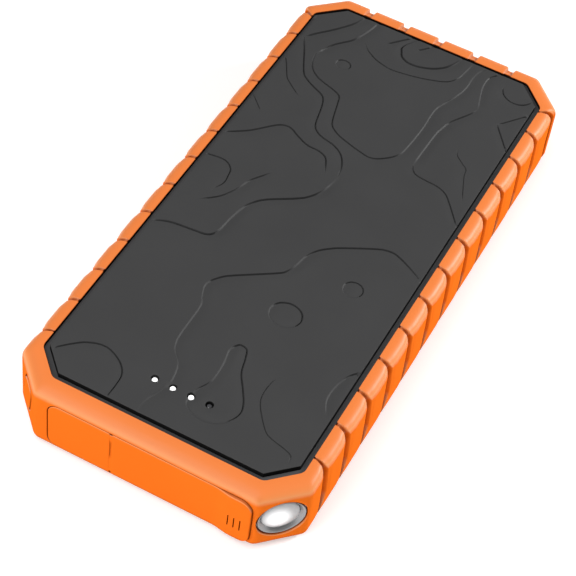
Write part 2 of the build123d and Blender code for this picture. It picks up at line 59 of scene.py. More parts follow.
def node_box(node):
    """Lowest and highest corner of a CAD node, in millimetres."""
    low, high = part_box(node)
    return np.array(low) / MM, np.array(high) / MM


# ---------------------------------------------------------------- sizes
SLEEVE_LOW, SLEEVE_HIGH = node_box("outer_bumper")
PANEL_LOW, PANEL_HIGH = node_box("top_panel")
LIP_HEIGHT = SLEEVE_HIGH[2]
PANEL_TOP = PANEL_HIGH[2]

# Cut-corner outlines: half width, half length, corner cut.
SLEEVE = (SLEEVE_HIGH[0], SLEEVE_HIGH[1], 10.0)
LIP = (37.8, 84.2, 7.5)
FOOT = (39.4, 87.2, 8.6)
BOTTOM_LIP = (36.6, 84.4, 7.2)
CAVITY = (39.3, 87.1, 8.4)
PANEL = (PANEL_HIGH[0], PANEL_HIGH[1], 6.8)
SHOULDER = 19.8
LIP_THICK = 1.6
SHADE_BAND_TOP = 21.15                      # the black band of painted shade inside the top lip reaches up to here
CUT_SHRINK = 0.586                    # how fast a corner cut shrinks as its outline moves in

CORNER_RADIUS = 2.4
WALL_TOP = 17.6
BEVEL_POWER = 0.75                    # below 1 the bevel is squarer than an ellipse
WALL_FOOT = 3.0
BEVEL_WIDTH = 5.0                     # rough width of the bevel and the foot, for the slope of their normals
BEVEL_SPAN = 7.0                      # the sleeve profile's own running length along its top bevel
ROUND_SPAN = 4.5                      # and along its rounded foot
WALL_SPAN = WALL_TOP - WALL_FOOT
PROFILE_SPAN = BEVEL_SPAN + WALL_SPAN + ROUND_SPAN

GROOVE_DEPTH = 1.9
GROOVE_PITCH = 12.42
SIDE_GROOVES = [-72.0 + GROOVE_PITCH * i for i in range(13)]
MOUTH = (-0.45, 1.5)                  # a groove's two edges before it is drawn out into its leaf shape
# The leaf: places down the sleeve, and its near and far edge at each.
GROOVE_RUN = (0.0, 1.5, 3.2, 5.4, 8.7, 13.0, 17.6, 20.0, 22.2, 26.1)
GROOVE_NEAR = (-0.05, -0.4, -0.8, -1.6, -1.5, -1.0, -0.95, -1.2, -1.7, -2.0)
GROOVE_FAR = (1.1, 0.95, 0.9, 1.2, 1.8, 2.6, 2.8, 1.6, -0.5, -1.2)
CROWN = 0.3                           # how far a rib's edges fall beside its groove
NOTCH_PITCH = 11.75
END_NOTCHES = [NOTCH_PITCH * i for i in range(-2, 3)]

NEAR = SLEEVE_LOW[1]
COVER_THICK = 1.6
COVER_GAP = 0.25
COVER_SEAM = 0.2                      # the seam round the cover shows most at its fixed end
TIGHT_SEAM = 0.06
HOLE_ROLLS = {"cover": 0.22, "torch": 0.35, "key": 0.3}      # radius of each hole's rolled lip
ANCHOR_LOW, ANCHOR_HIGH = node_box("cover_anchor")
FLAP_LOW, FLAP_HIGH = node_box("port_flap")
COVER_Z = (FLAP_LOW[2], FLAP_HIGH[2])
COVER_CORNER = 3.4
FOLD_CORNER = 0.7
RIM_INSET = 0.9
RIM_WIDTH = 1.0
RIM_FOOT = RIM_INSET + 1.2            # the rim stands higher over the cover's lower edge
RIM_END = FLAP_HIGH[1]
GRIP_XS = (24.9, 26.6, 28.3)
GRIP_HALF = 0.17
GRIP_HEIGHTS = (6.3, 10.6)
GRIP_PROUD = 0.7
GRIP_RISE = (20.0, 25.5)              # where along the flap it swells out to its grip end
STRAP_HALF = 1.1
STRAP_OPEN = (8.0, 9.0, 9.8, 14.4, 15.2, 16.2)     # heights at the ends of the fold line's open stretch

TORCH_HEIGHT = 11.0
TORCH_APERTURE = 6.85
TORCH_DEEP = 3.0
TORCH_GLARE = (-0.9, 0.0, -1.0)       # the brightest place of the lens's glow, set off its middle as a painted highlight, from the corner's face
KEY_HEIGHT = 11.3
KEY_HOLE_DEEP = 2.9
KEY_GAP = 0.5
KEY_SIZE = (6.0, 12.0)
KEY_LEAN = 3.0

WINDOW_Y = -71.2
WINDOW_XS = [5.3 * (i - 1.5) for i in range(4)]
WINDOW_RADIUS = 1.1


# ---------------------------------------------------------------- mesh helpers
class Skin:
    """Collects points and faces in millimetres and becomes one mesh piece."""

    def __init__(self):
        self.points = []
        self.faces = []

    def add(self, points):
        first = len(self.points)
        self.points.extend(tuple(float(c) for c in p) for p in points)
        return list(range(first, len(self.points)))

    def strip(self, row_a, row_b, closed=True):
        """Quads between two rows of points of the same length."""
        count = len(row_a)
        for i in range(count if closed else count - 1):
            j = (i + 1) % count
            self.faces.append((row_a[i], row_a[j], row_b[j], row_b[i]))

    def rings(self, rings, closed=True):
        """Strips through a list of rings of points; returns the rings' indices."""
        rows = [self.add(ring) for ring in rings]
        for a, b in zip(rows, rows[1:]):
            self.strip(a, b, closed)
        return rows

    def flat(self, region, place=None):
        """Adds a triangulated region; place puts its points in space if they aren't there yet."""
        points, triangles = region[0], region[1]
        index = self.add(place(points) if place else points)
        self.faces.extend(tuple(index[c] for c in t) for t in triangles)
        return index

    def make(self, name, material, sharp=40, second=None, second_faces=()):
        """Makes the object; second is another material for the faces numbered in second_faces."""
        mesh = bpy.data.meshes.new(name)
        mesh.from_pydata([tuple(c * MM for c in p) for p in self.points], [], self.faces)
        for face in second_faces:
            mesh.polygons[face].material_index = 1
        tidy_mesh(mesh)
        mesh.polygons.foreach_set("use_smooth", [True] * len(mesh.polygons))
        mesh.set_sharp_from_angle(angle=math.radians(sharp))
        mesh.materials.append(material)
        if second:
            mesh.materials.append(second)
        thing = bpy.data.objects.new(name, mesh)
        bpy.context.scene.collection.objects.link(thing)
        return thing

    def piece(self, name, body, node, slot, material, *looks):
        """Makes the object as a piece that rides a body and stands for a CAD node."""
        thing = self.make(name, material, *looks)
        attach(thing, body)
        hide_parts(node)


def tidy_mesh(mesh):
    """Joins points that coincide and turns all faces the same way out."""
    work = bmesh.new()
    work.from_mesh(mesh)
    bmesh.ops.remove_doubles(work, verts=work.verts, dist=0.002 * MM)
    bmesh.ops.dissolve_degenerate(work, edges=work.edges, dist=0.0005 * MM)
    bmesh.ops.recalc_face_normals(work, faces=work.faces)
    work.to_mesh(mesh)
    work.free()


def inside(points, loop):
    """Which points lie inside a closed outline."""
    points, loop = np.asarray(points, float), np.asarray(loop, float)
    result = np.zeros(len(points), bool)
    for (x0, y0), (x1, y1) in zip(loop, np.roll(loop, -1, axis=0)):
        if y0 == y1:
            continue
        crosses = (points[:, 1] > min(y0, y1)) & (points[:, 1] <= max(y0, y1))
        at = x0 + (points[:, 1] - y0) * (x1 - x0) / (y1 - y0)
        result ^= crosses & (points[:, 0] < at)
    return result


def distance_to_lines(points, lines):
    """Distance from each point to the nearest of some lines, and the share of that line's length there.

    Points well clear of every line get a huge distance.
    """
    clear = 3
    points = np.asarray(points, float)
    best = np.full(len(points), 1e9)
    where = np.zeros(len(points))
    for line in lines:
        line = np.asarray(line, float)
        near_box = np.all((points > line.min(0) - clear) & (points < line.max(0) + clear), axis=1)
        if not near_box.any():
            continue
        some = points[near_box]
        a, b = line[:-1], line[1:]
        span = b - a
        length2 = np.maximum((span ** 2).sum(1), 1e-12)
        t = np.clip(((some[:, None, :] - a) * span).sum(2) / length2, 0, 1)
        away = np.linalg.norm(some[:, None, :] - (a + t[..., None] * span), axis=2)
        pick = away.argmin(1)
        rows = np.arange(len(some))
        value, along = away[rows, pick], (pick + t[rows, pick]) / len(a)
        target = np.flatnonzero(near_box)
        better = value < best[target]
        best[target[better]] = value[better]
        where[target[better]] = along[better]
    return best, where


def clear_of(points, loop, gap):
    """Which points are farther than a gap from a closed outline."""
    return distance_to_lines(points, [loop + loop[:1]])[0] > gap


def triangulate(outer, holes=(), lines=(), extra=(), rings=()):
    """Triangles between an outline and its holes, through open lines, closed rings and loose points.

    Returns the points, the triangles and, for each outline (outer, holes, rings), its points' indices.
    """
    points, edges, starts = [], [], []
    for loop in [outer, *holes, *rings]:
        first, count = len(points), len(loop)
        starts.append((first, count))
        points.extend(Vector((float(x), float(y))) for x, y in loop)
        edges.extend((first + i, first + (i + 1) % count) for i in range(count))
    for line in lines:
        first = len(points)
        points.extend(Vector((float(x), float(y))) for x, y in line)
        edges.extend((first + i, first + i + 1) for i in range(len(line) - 1))
    points.extend(Vector((float(x), float(y))) for x, y in extra)
    made = delaunay_2d_cdt(points, edges, [], 0, 1e-5)
    flat = np.array([tuple(p) for p in made[0]])
    triangles = [tuple(f) for f in made[2]]
    middle = np.array([flat[list(f)].mean(0) for f in triangles])
    keep = inside(middle, outer)
    for hole in holes:
        keep &= ~inside(middle, hole)
    triangles = [f for f, k in zip(triangles, keep) if k]
    new_index = {old: i for i, olds in enumerate(made[3]) for old in olds}
    loops = [[new_index[first + i] for i in range(count)] for first, count in starts]
    return flat, triangles, loops


def rounded_outline(x, z, radii, grow=0.0, step=1.6, arc=8):
    """Points round a rectangle with rounded corners: radii at low-low, high-low, high-high and low-high."""
    corners = [(x[0], z[0], 180), (x[1], z[0], 270), (x[1], z[1], 0), (x[0], z[1], 90)]
    inward = [(1, 1), (-1, 1), (-1, -1), (1, -1)]
    points = []
    for (cx, cz, start), (ix, iz), radius in zip(corners, inward, radii):
        reach = radius + grow
        for i in range(arc + 1):
            angle = math.radians(start + 90 * i / arc)
            points.append((cx + ix * radius + reach * math.cos(angle),
                           cz + iz * radius + reach * math.sin(angle)))
    return spaced(points, step)


def pill_outline(grow=0.0, arc=14):
    """Leaning pill of the key, in its corner face: along the face, and up from its middle."""
    radius = KEY_SIZE[0] / 2
    half = KEY_SIZE[1] / 2 - radius
    lean = KEY_LEAN / 2 * half / (KEY_SIZE[1] / 2)
    tilt = math.atan2(lean, half)
    points = []
    for sign, start in ((1, -tilt), (-1, math.pi - tilt)):
        for i in range(arc + 1):
            angle = start + math.pi * i / arc
            points.append((sign * lean + (radius + grow) * math.cos(angle),
                           sign * half + (radius + grow) * math.sin(angle)))
    return spaced(points, 1.2)


def circle(centre, radius, count=64):
    """Points round a circle."""
    return [(centre[0] + radius * math.cos(2 * math.pi * i / count),
             centre[1] + radius * math.sin(2 * math.pi * i / count)) for i in range(count)]


def spaced(loop, step):
    """Adds points to a closed loop's long edges."""
    points = []
    for a, b in zip(loop, loop[1:] + loop[:1]):
        parts = max(1, round(math.dist(a, b) / step))
        points.extend((a[0] + (b[0] - a[0]) * i / parts,
                       a[1] + (b[1] - a[1]) * i / parts) for i in range(parts))
    return points


def smooth(a, b, value):
    """Smooth step from 0 at a to 1 at b."""
    t = np.clip((np.asarray(value, float) - a) / (b - a), 0, 1)
    return t * t * (3 - 2 * t)


# ---------------------------------------------------------------- the sleeve's surface
TANGENT = CORNER_RADIUS * math.tan(math.radians(22.5))
EDGE_ANGLES = [math.radians(45 * k) for k in range(8)]
RIGHT_SIDE, FAR_END, LEFT_SIDE = 2, 4, 6        # edges of the outline, counted from the near face
CHAMFER_LENGTH = SLEEVE[2] * math.sqrt(2) - 2 * TANGENT
EDGE_LENGTHS = [2 * (SLEEVE[0] - SLEEVE[2]) - 2 * TANGENT, CHAMFER_LENGTH,
                2 * (SLEEVE[1] - SLEEVE[2]) - 2 * TANGENT, CHAMFER_LENGTH] * 2
ARC_LENGTH = CORNER_RADIUS * math.radians(45)


def outline_stretches():
    """Stretches (edge, is_arc, start, length) of the sleeve's outline, from the near left corner's first arc.

    The running length is 0 at the middle of the near face and grows towards +X.
    """
    found = []
    start = -(EDGE_LENGTHS[0] / 2 + ARC_LENGTH + EDGE_LENGTHS[7] + ARC_LENGTH)
    for edge in (6, 7, 0, 1, 2, 3, 4, 5):
        following = (edge + 1) % 8
        for stretch in ((edge, True, ARC_LENGTH), (following, False, EDGE_LENGTHS[following])):
            found.append((*stretch[:2], start, stretch[2]))
            start += stretch[2]
    return found


STRETCHES = outline_stretches()
AROUND_END = STRETCHES[-1][2] + STRETCHES[-1][3]
NEAR_SPAN = -STRETCHES[0][2]          # the near face and both its corners, each way from the middle
CHAMFER_MIDDLE = EDGE_LENGTHS[0] / 2 + ARC_LENGTH + EDGE_LENGTHS[1] / 2


def stretch_start(edge):
    """Running length at which a straight edge starts."""
    return next(start for found, is_arc, start, _ in STRETCHES if found == edge and not is_arc)


def profile(v):
    """Sleeve profile at a running length from the lip: share towards the lip, share towards the foot, height,
    and the outward and upward parts of its normal."""
    v = np.asarray(v, float)
    top = np.clip(1 - v / BEVEL_SPAN, 0, 1) * math.pi / 2
    foot = np.clip((v - BEVEL_SPAN - WALL_SPAN) / ROUND_SPAN, 0, 1) * math.pi / 2
    z = WALL_TOP - np.clip(v - BEVEL_SPAN, 0, WALL_SPAN)
    z = z + (LIP_HEIGHT - WALL_TOP) * np.sin(top) ** BEVEL_POWER - WALL_FOOT * np.sin(foot)
    up = np.sin(top) ** (2 - BEVEL_POWER) / (LIP_HEIGHT - WALL_TOP) - np.sin(foot) / WALL_FOOT
    out = np.where(top > 0, np.cos(top) ** (2 - BEVEL_POWER), np.cos(foot)) / BEVEL_WIDTH
    size = np.hypot(up, out)
    return 1 - np.cos(top) ** BEVEL_POWER, 1 - np.cos(foot), z, out / size, up / size


def profile_at_height(z):
    """Running length of the profile at a height."""
    z = np.asarray(z, float)
    rise = np.clip((z - WALL_TOP) / (LIP_HEIGHT - WALL_TOP), 0, 1) ** (1 / BEVEL_POWER)
    top = np.arcsin(rise) / (math.pi / 2)
    foot = np.arcsin(np.clip((WALL_FOOT - z) / WALL_FOOT, 0, 1)) / (math.pi / 2)
    return BEVEL_SPAN * (1 - top) + np.clip(WALL_TOP - z, 0, WALL_SPAN) + foot * ROUND_SPAN


def groove_gap(s):
    """Running distance from the nearest side groove, and which running lengths are on a side with grooves."""
    s = np.asarray(s, float)
    gap, on_side = np.full_like(s, GROOVE_PITCH / 2), np.zeros(s.shape, bool)
    for edge, sign in ((RIGHT_SIDE, 1), (LEFT_SIDE, -1)):
        start, length = stretch_start(edge), EDGE_LENGTHS[edge]
        y = (s - start - length / 2) * sign
        here = (s >= start) & (s <= start + length)
        apart = y[..., None] - np.array(SIDE_GROOVES)
        nearest = np.take_along_axis(apart, np.abs(apart).argmin(-1)[..., None], -1)[..., 0]
        gap, on_side = np.where(here, nearest, gap), on_side | here
    return gap, on_side


def groove_shift(s, v):
    """How far points move along the sleeve so that each groove is a leaf, narrow at both its ends."""
    gap, on_side = groove_gap(s)
    near = np.interp(v, GROOVE_RUN, GROOVE_NEAR)
    far = np.interp(v, GROOVE_RUN, GROOVE_FAR)
    half = GROOVE_PITCH / 2
    moved = np.where(gap < MOUTH[0], (gap + half) / (MOUTH[0] + half) * (near + half) - half,
                     np.where(gap > MOUTH[1], half - (half - gap) / (half - MOUTH[1]) * (half - far),
                              near + (gap - MOUTH[0]) / (MOUTH[1] - MOUTH[0]) * (far - near)))
    return np.where(on_side & (np.abs(gap) < half), moved - gap, 0.0)


def ring_point(s, half_x, half_y, cut, lean=0.0):
    """Points and outward directions on a cut-corner outline, at running lengths of the sleeve's own."""
    s = np.asarray(s, float)
    half_x, half_y, cut, lean = (np.broadcast_to(np.asarray(a, float), s.shape)
                                 for a in (half_x, half_y, cut, lean))
    result = np.zeros((4, *s.shape))
    run_x, run_y = half_x - cut, half_y - cut
    corners = [(-run_x, -half_y), (run_x, -half_y), (half_x, -run_y), (half_x, run_y),
               (run_x, half_y), (-run_x, half_y), (-half_x, run_y), (-half_x, -run_y)]
    total = AROUND_END - STRETCHES[0][2]
    s = (s - STRETCHES[0][2]) % total + STRETCHES[0][2]
    for edge, is_arc, start, length in STRETCHES:
        here = (s >= start - 1e-9) & (s <= start + length + 1e-9)
        angle = EDGE_ANGLES[edge]
        (ax, ay), (bx, by) = corners[edge], corners[(edge + 1) % 8]
        share = np.clip((s - start) / length, 0, 1)
        if is_arc:
            normal = angle - math.pi / 2 + share * math.pi / 4
            middle = angle - math.pi / 2 + math.pi / 8
            back = CORNER_RADIUS / math.cos(math.pi / 8)
            px = bx - back * math.cos(middle) + CORNER_RADIUS * np.cos(normal)
            py = by - back * math.sin(middle) + CORNER_RADIUS * np.sin(normal)
        else:
            reach = np.hypot(bx - ax, by - ay) / 2 - TANGENT
            along = (share - 0.5) * length
            if edge % 2 == 0:
                sign = {RIGHT_SIDE: 1, LEFT_SIDE: -1}.get(edge, 0)
                fade = 1 - smooth(0.925 * length / 2, length / 2, np.abs(along))
                along = along + sign * lean * fade
                hold = 0.9 * length / 2
                tail = hold + (np.abs(along) - hold) * (reach - hold) / (length / 2 - hold)
                along = np.where(np.abs(along) > hold, np.sign(along) * tail, along)
            else:
                along = along * reach / (length / 2)
            px = (ax + bx) / 2 + along * math.cos(angle)
            py = (ay + by) / 2 + along * math.sin(angle)
            normal = angle - math.pi / 2 + 0 * share
        result = np.where(here, np.stack([px, py, np.cos(normal), np.sin(normal)]), result)
    return result


def groove_depth(s):
    """Depth of the grooves and notches, and of the ribs' own crown, at running lengths round the sleeve."""
    s = np.asarray(s, float)
    gap, on_side = groove_gap(s)
    across = (gap - MOUTH[0]) / (MOUTH[1] - MOUTH[0])
    outside = np.maximum(MOUTH[0] - gap, gap - MOUTH[1])
    cut = GROOVE_DEPTH * smooth(0.0, 0.15, across) * (1 - smooth(0.62, 1.0, across)) * on_side
    crown = CROWN * (1 - smooth(0.0, 2.4, outside)) * on_side
    start, length = stretch_start(FAR_END), EDGE_LENGTHS[FAR_END]
    x = s - start - length / 2
    away = np.min([np.abs(x - n) for n in END_NOTCHES], axis=0)
    notch = GROOVE_DEPTH * (1 - smooth(0.75, 1.45, away))
    return np.where((s >= start) & (s <= start + length), notch, cut), crown


def sleeve_surface(s, v, drop=0.0):
    """Points of the sleeve's outside; drop sinks them along the surface normal."""
    s, v = np.asarray(s, float), np.asarray(v, float)
    to_lip, to_foot, z, out, up = profile(v)
    outline = [SLEEVE[i] + (LIP[i] - SLEEVE[i]) * to_lip + (FOOT[i] - SLEEVE[i]) * to_foot for i in range(3)]
    x, y, nx, ny = ring_point(s, *outline, lean=groove_shift(s, v))
    cut, crown = groove_depth(s)
    share = 0.22 + 0.3 * smooth(0.0, 1.6, v) + 0.48 * smooth(3.0, 9.0, v)
    share -= 0.65 * smooth(16.0, PROFILE_SPAN, v)
    sink = drop + cut * share + crown * smooth(0.5, 5.0, v) * (1 - smooth(14.0, PROFILE_SPAN, v))
    inward = 0.1 * cut * (1 - smooth(0.0, 1.5, v))
    return np.stack([x - nx * (out * sink - inward), y - ny * (out * sink - inward), z - up * sink], -1)


def roll_drop(distance, radius):
    """How far a rounded lip has fallen at a distance from the hole's wall."""
    reach = radius - np.minimum(distance, radius)
    return radius - np.sqrt(np.maximum(radius ** 2 - reach ** 2, 0))


ROLL_STEPS = (0.0, 0.16, 0.45, 1.0)   # places across a rolled lip, as shares of its radius


def rolled_drops(count, ring_places, radius):
    """How far each of count points sinks where rings of them round off an edge."""
    drop = np.zeros(count)
    for share, ring in zip(ROLL_STEPS, ring_places):
        drop[ring] = roll_drop(share * radius, radius)
    return drop


# Places of mesh columns beside the middle of a side groove and of an end notch.
GROOVE_STEPS = (-5.3, -4.2, -3.2, -2.4, -1.8, -1.3, -0.9, -0.6, -0.45, -0.38, -0.31, -0.24, -0.16,
                0.1, 0.4, 0.72, 0.84, 0.96, 1.09, 1.21, 1.34, 1.5, 1.8, 2.3, 2.9, 3.6, 4.4, 5.3, 6.21)
NOTCH_STEPS = (-4.5, -3.2, -2.2, -1.5, -1.35, -1.15, -0.95, -0.8, 0,
               0.8, 0.95, 1.15, 1.35, 1.5, 2.2, 3.2, 4.5, 5.87)


def groove_columns():
    """Running lengths of the mesh columns outside the near end: dense at grooves and notches."""
    columns = []
    for edge, is_arc, start, length in STRETCHES:
        if start < NEAR_SPAN - 1e-6:
            continue
        columns.append(start)
        if is_arc or edge in (3, 5):
            parts = 5 if is_arc else 6
            columns.extend(start + length * i / parts for i in range(1, parts))
            continue
        centres, steps = (END_NOTCHES, NOTCH_STEPS) if edge == FAR_END else (SIDE_GROOVES, GROOVE_STEPS)
        sign = -1 if edge == LEFT_SIDE else 1
        places = {round(sign * (c + step), 4) for c in centres for step in steps}
        columns.extend(start + length / 2 + p for p in sorted(places) if abs(p) < length / 2 - 0.25)
    columns.append(AROUND_END)
    kept = columns[:1]
    for c in columns[1:]:
        if c - kept[-1] > 0.06:
            kept.append(c)
    return np.array(kept)


def profile_rows():
    """Running lengths of the mesh rows down the sleeve."""
    shares = (0, 0.02, 0.06, 0.13, 0.22, 0.32, 0.42, 0.52, 0.62, 0.72, 0.81, 0.89, 0.95, 0.985, 1)
    bevel = [BEVEL_SPAN * t for t in shares]
    wall = [BEVEL_SPAN + WALL_SPAN * i / 10 for i in range(1, 10)]
    foot = [BEVEL_SPAN + WALL_SPAN + ROUND_SPAN * i / 8 for i in range(9)]
    return np.array(bevel + wall + foot)


def hole_loops(kind, radius):
    """A hole's outline in the near end's running lengths, and the rings of its rolled lip."""
    loops = []
    for share in ROLL_STEPS:
        grow = share * radius
        if kind == "cover":
            outline = rounded_outline((ANCHOR_LOW[0] - COVER_SEAM, FLAP_HIGH[0] + TIGHT_SEAM),
                                      (COVER_Z[0] - TIGHT_SEAM, COVER_Z[1] + TIGHT_SEAM),
                                      [COVER_CORNER] * 4, grow)
            middle = 0.0
        elif kind == "torch":
            outline = circle((0, TORCH_HEIGHT), TORCH_APERTURE + grow)
            middle = CHAMFER_MIDDLE
        else:
            outline = [(u, h + KEY_HEIGHT) for u, h in pill_outline(KEY_GAP + grow)]
            middle = -CHAMFER_MIDDLE
        loops.append([(middle + u, float(profile_at_height(h))) for u, h in outline])
    return loops


def corner_frame(side, height):
    """Origin on a near corner's face, the direction along it and the direction out of it."""
    half = math.sqrt(0.5)
    origin = np.array([side * (SLEEVE[0] - SLEEVE[2] / 2), -(SLEEVE[1] - SLEEVE[2] / 2), height])
    return origin, np.array([half, side * half, 0.0]), np.array([side * half, -half, 0.0])


def on_corner(side, height, local):
    """Places points given along a near corner's face, up from a height and out of the face."""
    origin, along, out = corner_frame(side, height)
    across, up, outward = np.asarray(local, float).T
    return origin + np.outer(across, along) + np.outer(up, (0, 0, 1)) + np.outer(outward, out)


def near_end(skin, near_columns, rows):
    """The sleeve's near end with its three holes; returns the point numbers round the holes' rims."""
    border = [(c, rows[0]) for c in near_columns] + [(NEAR_SPAN, r) for r in rows[1:-1]]
    border += [(c, rows[-1]) for c in near_columns[::-1]] + [(-NEAR_SPAN, r) for r in rows[-2:0:-1]]
    loops = [hole_loops(kind, radius) for kind, radius in HOLE_ROLLS.items()]
    inner = np.array([(c, r) for c in near_columns[1:-1] for r in rows[1:-1]])
    keep = np.ones(len(inner), bool)
    for rings in loops:
        keep &= ~inside(inner, rings[-1]) & clear_of(inner, rings[-1], 0.35)
    points, triangles, made = triangulate(border, holes=[rings[0] for rings in loops],
                                          rings=[ring for rings in loops for ring in rings[1:]],
                                          extra=inner[keep])
    drop = np.zeros(len(points))
    lips = len(ROLL_STEPS) - 1
    for i, radius in enumerate(HOLE_ROLLS.values()):
        first = 1 + len(loops) + i * lips
        drop += rolled_drops(len(points), [made[1 + i], *made[first:first + lips]], radius)
    index = skin.flat((sleeve_surface(points[:, 0], points[:, 1], drop), triangles))
    return [[index[i] for i in rim] for rim in made[1:1 + len(loops)]]


def cover_recess(skin, rim):
    """Wall and floor of the cover's recess, with the opening for the flap's sealing rim."""
    floor_y = NEAR + COVER_THICK
    ledge = [(skin.points[i][0], floor_y, skin.points[i][2]) for i in rim]
    skin.strip(rim, skin.add(ledge))
    opening_x = (FLAP_LOW[0] + RIM_INSET - COVER_GAP, FLAP_HIGH[0] - RIM_INSET + COVER_GAP)
    opening_z = (COVER_Z[0] + RIM_FOOT - COVER_GAP, COVER_Z[1] - RIM_INSET + COVER_GAP)
    opening = rounded_outline(opening_x, opening_z, [COVER_CORNER - RIM_INSET + COVER_GAP] * 4)
    floor = triangulate([(p[0], p[2]) for p in ledge], holes=[opening])
    skin.flat(floor, lambda p: [(x, floor_y, z) for x, z in p])
    skin.rings([[(x, y, z) for x, z in opening] for y in (floor_y, -CAVITY[1])])


def build_sleeve(material, shade_material):
    """Rubber sleeve: grooved sides and far end, a near end with three holes, both lips and the cavity."""
    skin = Skin()
    rows = profile_rows()
    columns = groove_columns()
    s, v = np.meshgrid(columns, rows)
    skin.rings(sleeve_surface(s, v), closed=False)
    near_columns = np.linspace(-NEAR_SPAN, NEAR_SPAN, 122)
    cover_rim, torch_rim, key_rim = near_end(skin, near_columns, rows)
    cover_recess(skin, cover_rim)
    for rim, side, height, deep in ((torch_rim, 1, TORCH_HEIGHT, TORCH_DEEP),
                                    (key_rim, -1, KEY_HEIGHT, KEY_HOLE_DEEP)):
        origin, _, out = corner_frame(side, height)
        edge = np.array([skin.points[i] for i in rim])
        skin.strip(rim, skin.add(edge - np.outer((edge - origin) @ out + deep, out)))

    # Inside of both lips and the cavity wall, all the way round.
    around = np.concatenate([near_columns[:-1], columns[:-1]])

    def inner_ring(outline, z, places=around):
        x, y, _, _ = ring_point(places, *outline)
        return np.stack([x, y, np.full_like(x, z)], -1)

    top_edge = sleeve_surface(around, np.zeros_like(around))
    foot_edge = sleeve_surface(around, np.full_like(around, rows[-1]))
    lip_edge, band_edge, lip_low = (top_edge * (1, 1, 0) + (0, 0, z)
                                    for z in (LIP_HEIGHT, SHADE_BAND_TOP, SHOULDER))
    skin.rings([lip_edge, band_edge])
    # The lip's inner wall, from just below its top down to the shoulder, takes the second material, black, as
    # painted shade.
    first_shade = len(skin.faces)
    skin.rings([band_edge, lip_low])
    shade_faces = range(first_shade, len(skin.faces))
    skin.rings([lip_low, inner_ring(CAVITY, SHOULDER)])
    skin.rings([foot_edge, inner_ring(BOTTOM_LIP, 0.0), inner_ring(BOTTOM_LIP, LIP_THICK),
                inner_ring(CAVITY, LIP_THICK)])
    grooved = around[around >= NEAR_SPAN - 1e-6]
    skin.rings([inner_ring(CAVITY, z, grooved) for z in (LIP_THICK, SHOULDER)], closed=False)
    skin.piece("bumper_sleeve", "housing", "outer_bumper", "sleeve_rubber",
               material, 42, shade_material, shade_faces)


# ---------------------------------------------------------------- port cover
def cover_half(name, body, node, material, x, radii, rim=False):
    """Half of the port cover: a rolled skin that follows the sleeve, a flat back and, on the flap, a rim."""
    skin = Skin()
    roll = 0.24
    rings = [rounded_outline(x, COVER_Z, radii, -share * roll) for share in ROLL_STEPS]
    slots = [rounded_outline((c - GRIP_HALF, c + GRIP_HALF), GRIP_HEIGHTS, [0.16] * 4, 0, 0.6, 4)
             for c in GRIP_XS] if rim else []
    columns = np.arange(x[0] + 0.8, x[1] - 0.6, 0.8)
    heights = np.arange(COVER_Z[0] + 0.7, COVER_Z[1] - 0.6, 0.8)
    grid = np.array([(c, h) for c in columns for h in heights])
    grid = grid[inside(grid, rings[-1])]
    keep = clear_of(grid, rings[-1], 0.3)
    for slot in slots:
        keep &= ~inside(grid, slot) & clear_of(grid, slot, 0.25)
    points, triangles, made = triangulate(rings[0], holes=slots, rings=rings[1:], extra=grid[keep])
    first = 1 + len(slots)

    def front(flat, sink):
        flat = np.asarray(flat, float)
        place = sleeve_surface(flat[:, 0], profile_at_height(flat[:, 1]), sink)
        if rim:
            place[:, 1] -= GRIP_PROUD * smooth(*GRIP_RISE, flat[:, 0])
        return place

    def upright(y):
        return lambda flat: [(a, y, b) for a, b in flat]

    drop = rolled_drops(len(points), [made[0], *made[first:]], roll)
    index = skin.flat((front(points, drop), triangles))
    for slot, ring in zip(slots, made[1:first]):
        middle = np.mean(slot, axis=0)
        low = [(middle[0] + (a - middle[0]) * 0.8, middle[1] + (b - middle[1]) * 0.97) for a, b in slot]
        skin.strip([index[i] for i in ring], skin.add(front(low, 0.5)))
        skin.flat(triangulate(low), lambda p: front(p, 0.5))
    back_y = NEAR + COVER_THICK
    edge = [index[i] for i in made[0]]
    outline = [(skin.points[i][0], skin.points[i][2]) for i in edge]
    skin.strip(edge, skin.add(upright(back_y)(outline)))
    if rim:
        rim_x = (x[0] + RIM_INSET, x[1] - RIM_INSET)
        rim_z = (COVER_Z[0] + RIM_FOOT, COVER_Z[1] - RIM_INSET)

        def rim_outline(grow):
            return rounded_outline(rim_x, rim_z, [COVER_CORNER - RIM_INSET] * 4, grow)

        skin.flat(triangulate(outline, holes=[rim_outline(0)]), upright(back_y))
        skin.flat(triangulate(rim_outline(-RIM_WIDTH)), upright(back_y))
        steps = [(0, back_y), (0, RIM_END - 0.3), (0.1, RIM_END - 0.08), (0.32, RIM_END)]
        skin.rings([upright(y)(rim_outline(-inset)) for inset, y in steps]
                   + [upright(y)(rim_outline(inset - RIM_WIDTH)) for inset, y in steps[::-1]])
    else:
        skin.flat(triangulate(outline), upright(back_y))
    skin.piece(name, body, node, "sleeve_rubber", material, 42)


def build_key(material):
    """Rubber key: a leaning pill with a rolled edge, a little proud of its corner."""
    skin = Skin()
    roll, proud, deep = 0.45, 0.2, 1.8
    rings = [pill_outline(-share * roll) for share in ROLL_STEPS]
    grid = np.array([(a, b) for a in np.arange(-5, 5.1, 0.7) for b in np.arange(-6, 6.1, 0.7)])
    grid = grid[inside(grid, rings[-1])]
    points, triangles, made = triangulate(rings[0], rings=rings[1:],
                                          extra=grid[clear_of(grid, rings[-1], 0.3)])

    def place(flat, depth):
        return on_corner(-1, KEY_HEIGHT, np.column_stack([flat, -np.broadcast_to(depth, len(flat))]))

    index = skin.flat((place(points, rolled_drops(len(points), made, roll) - proud), triangles))
    base = pill_outline()
    skin.strip([index[i] for i in made[0]], skin.add(place(base, deep)))
    skin.flat(triangulate(base), lambda p: place(p, deep))
    skin.piece("key_cap", "key", "power_button", "sleeve_rubber", material, 42)


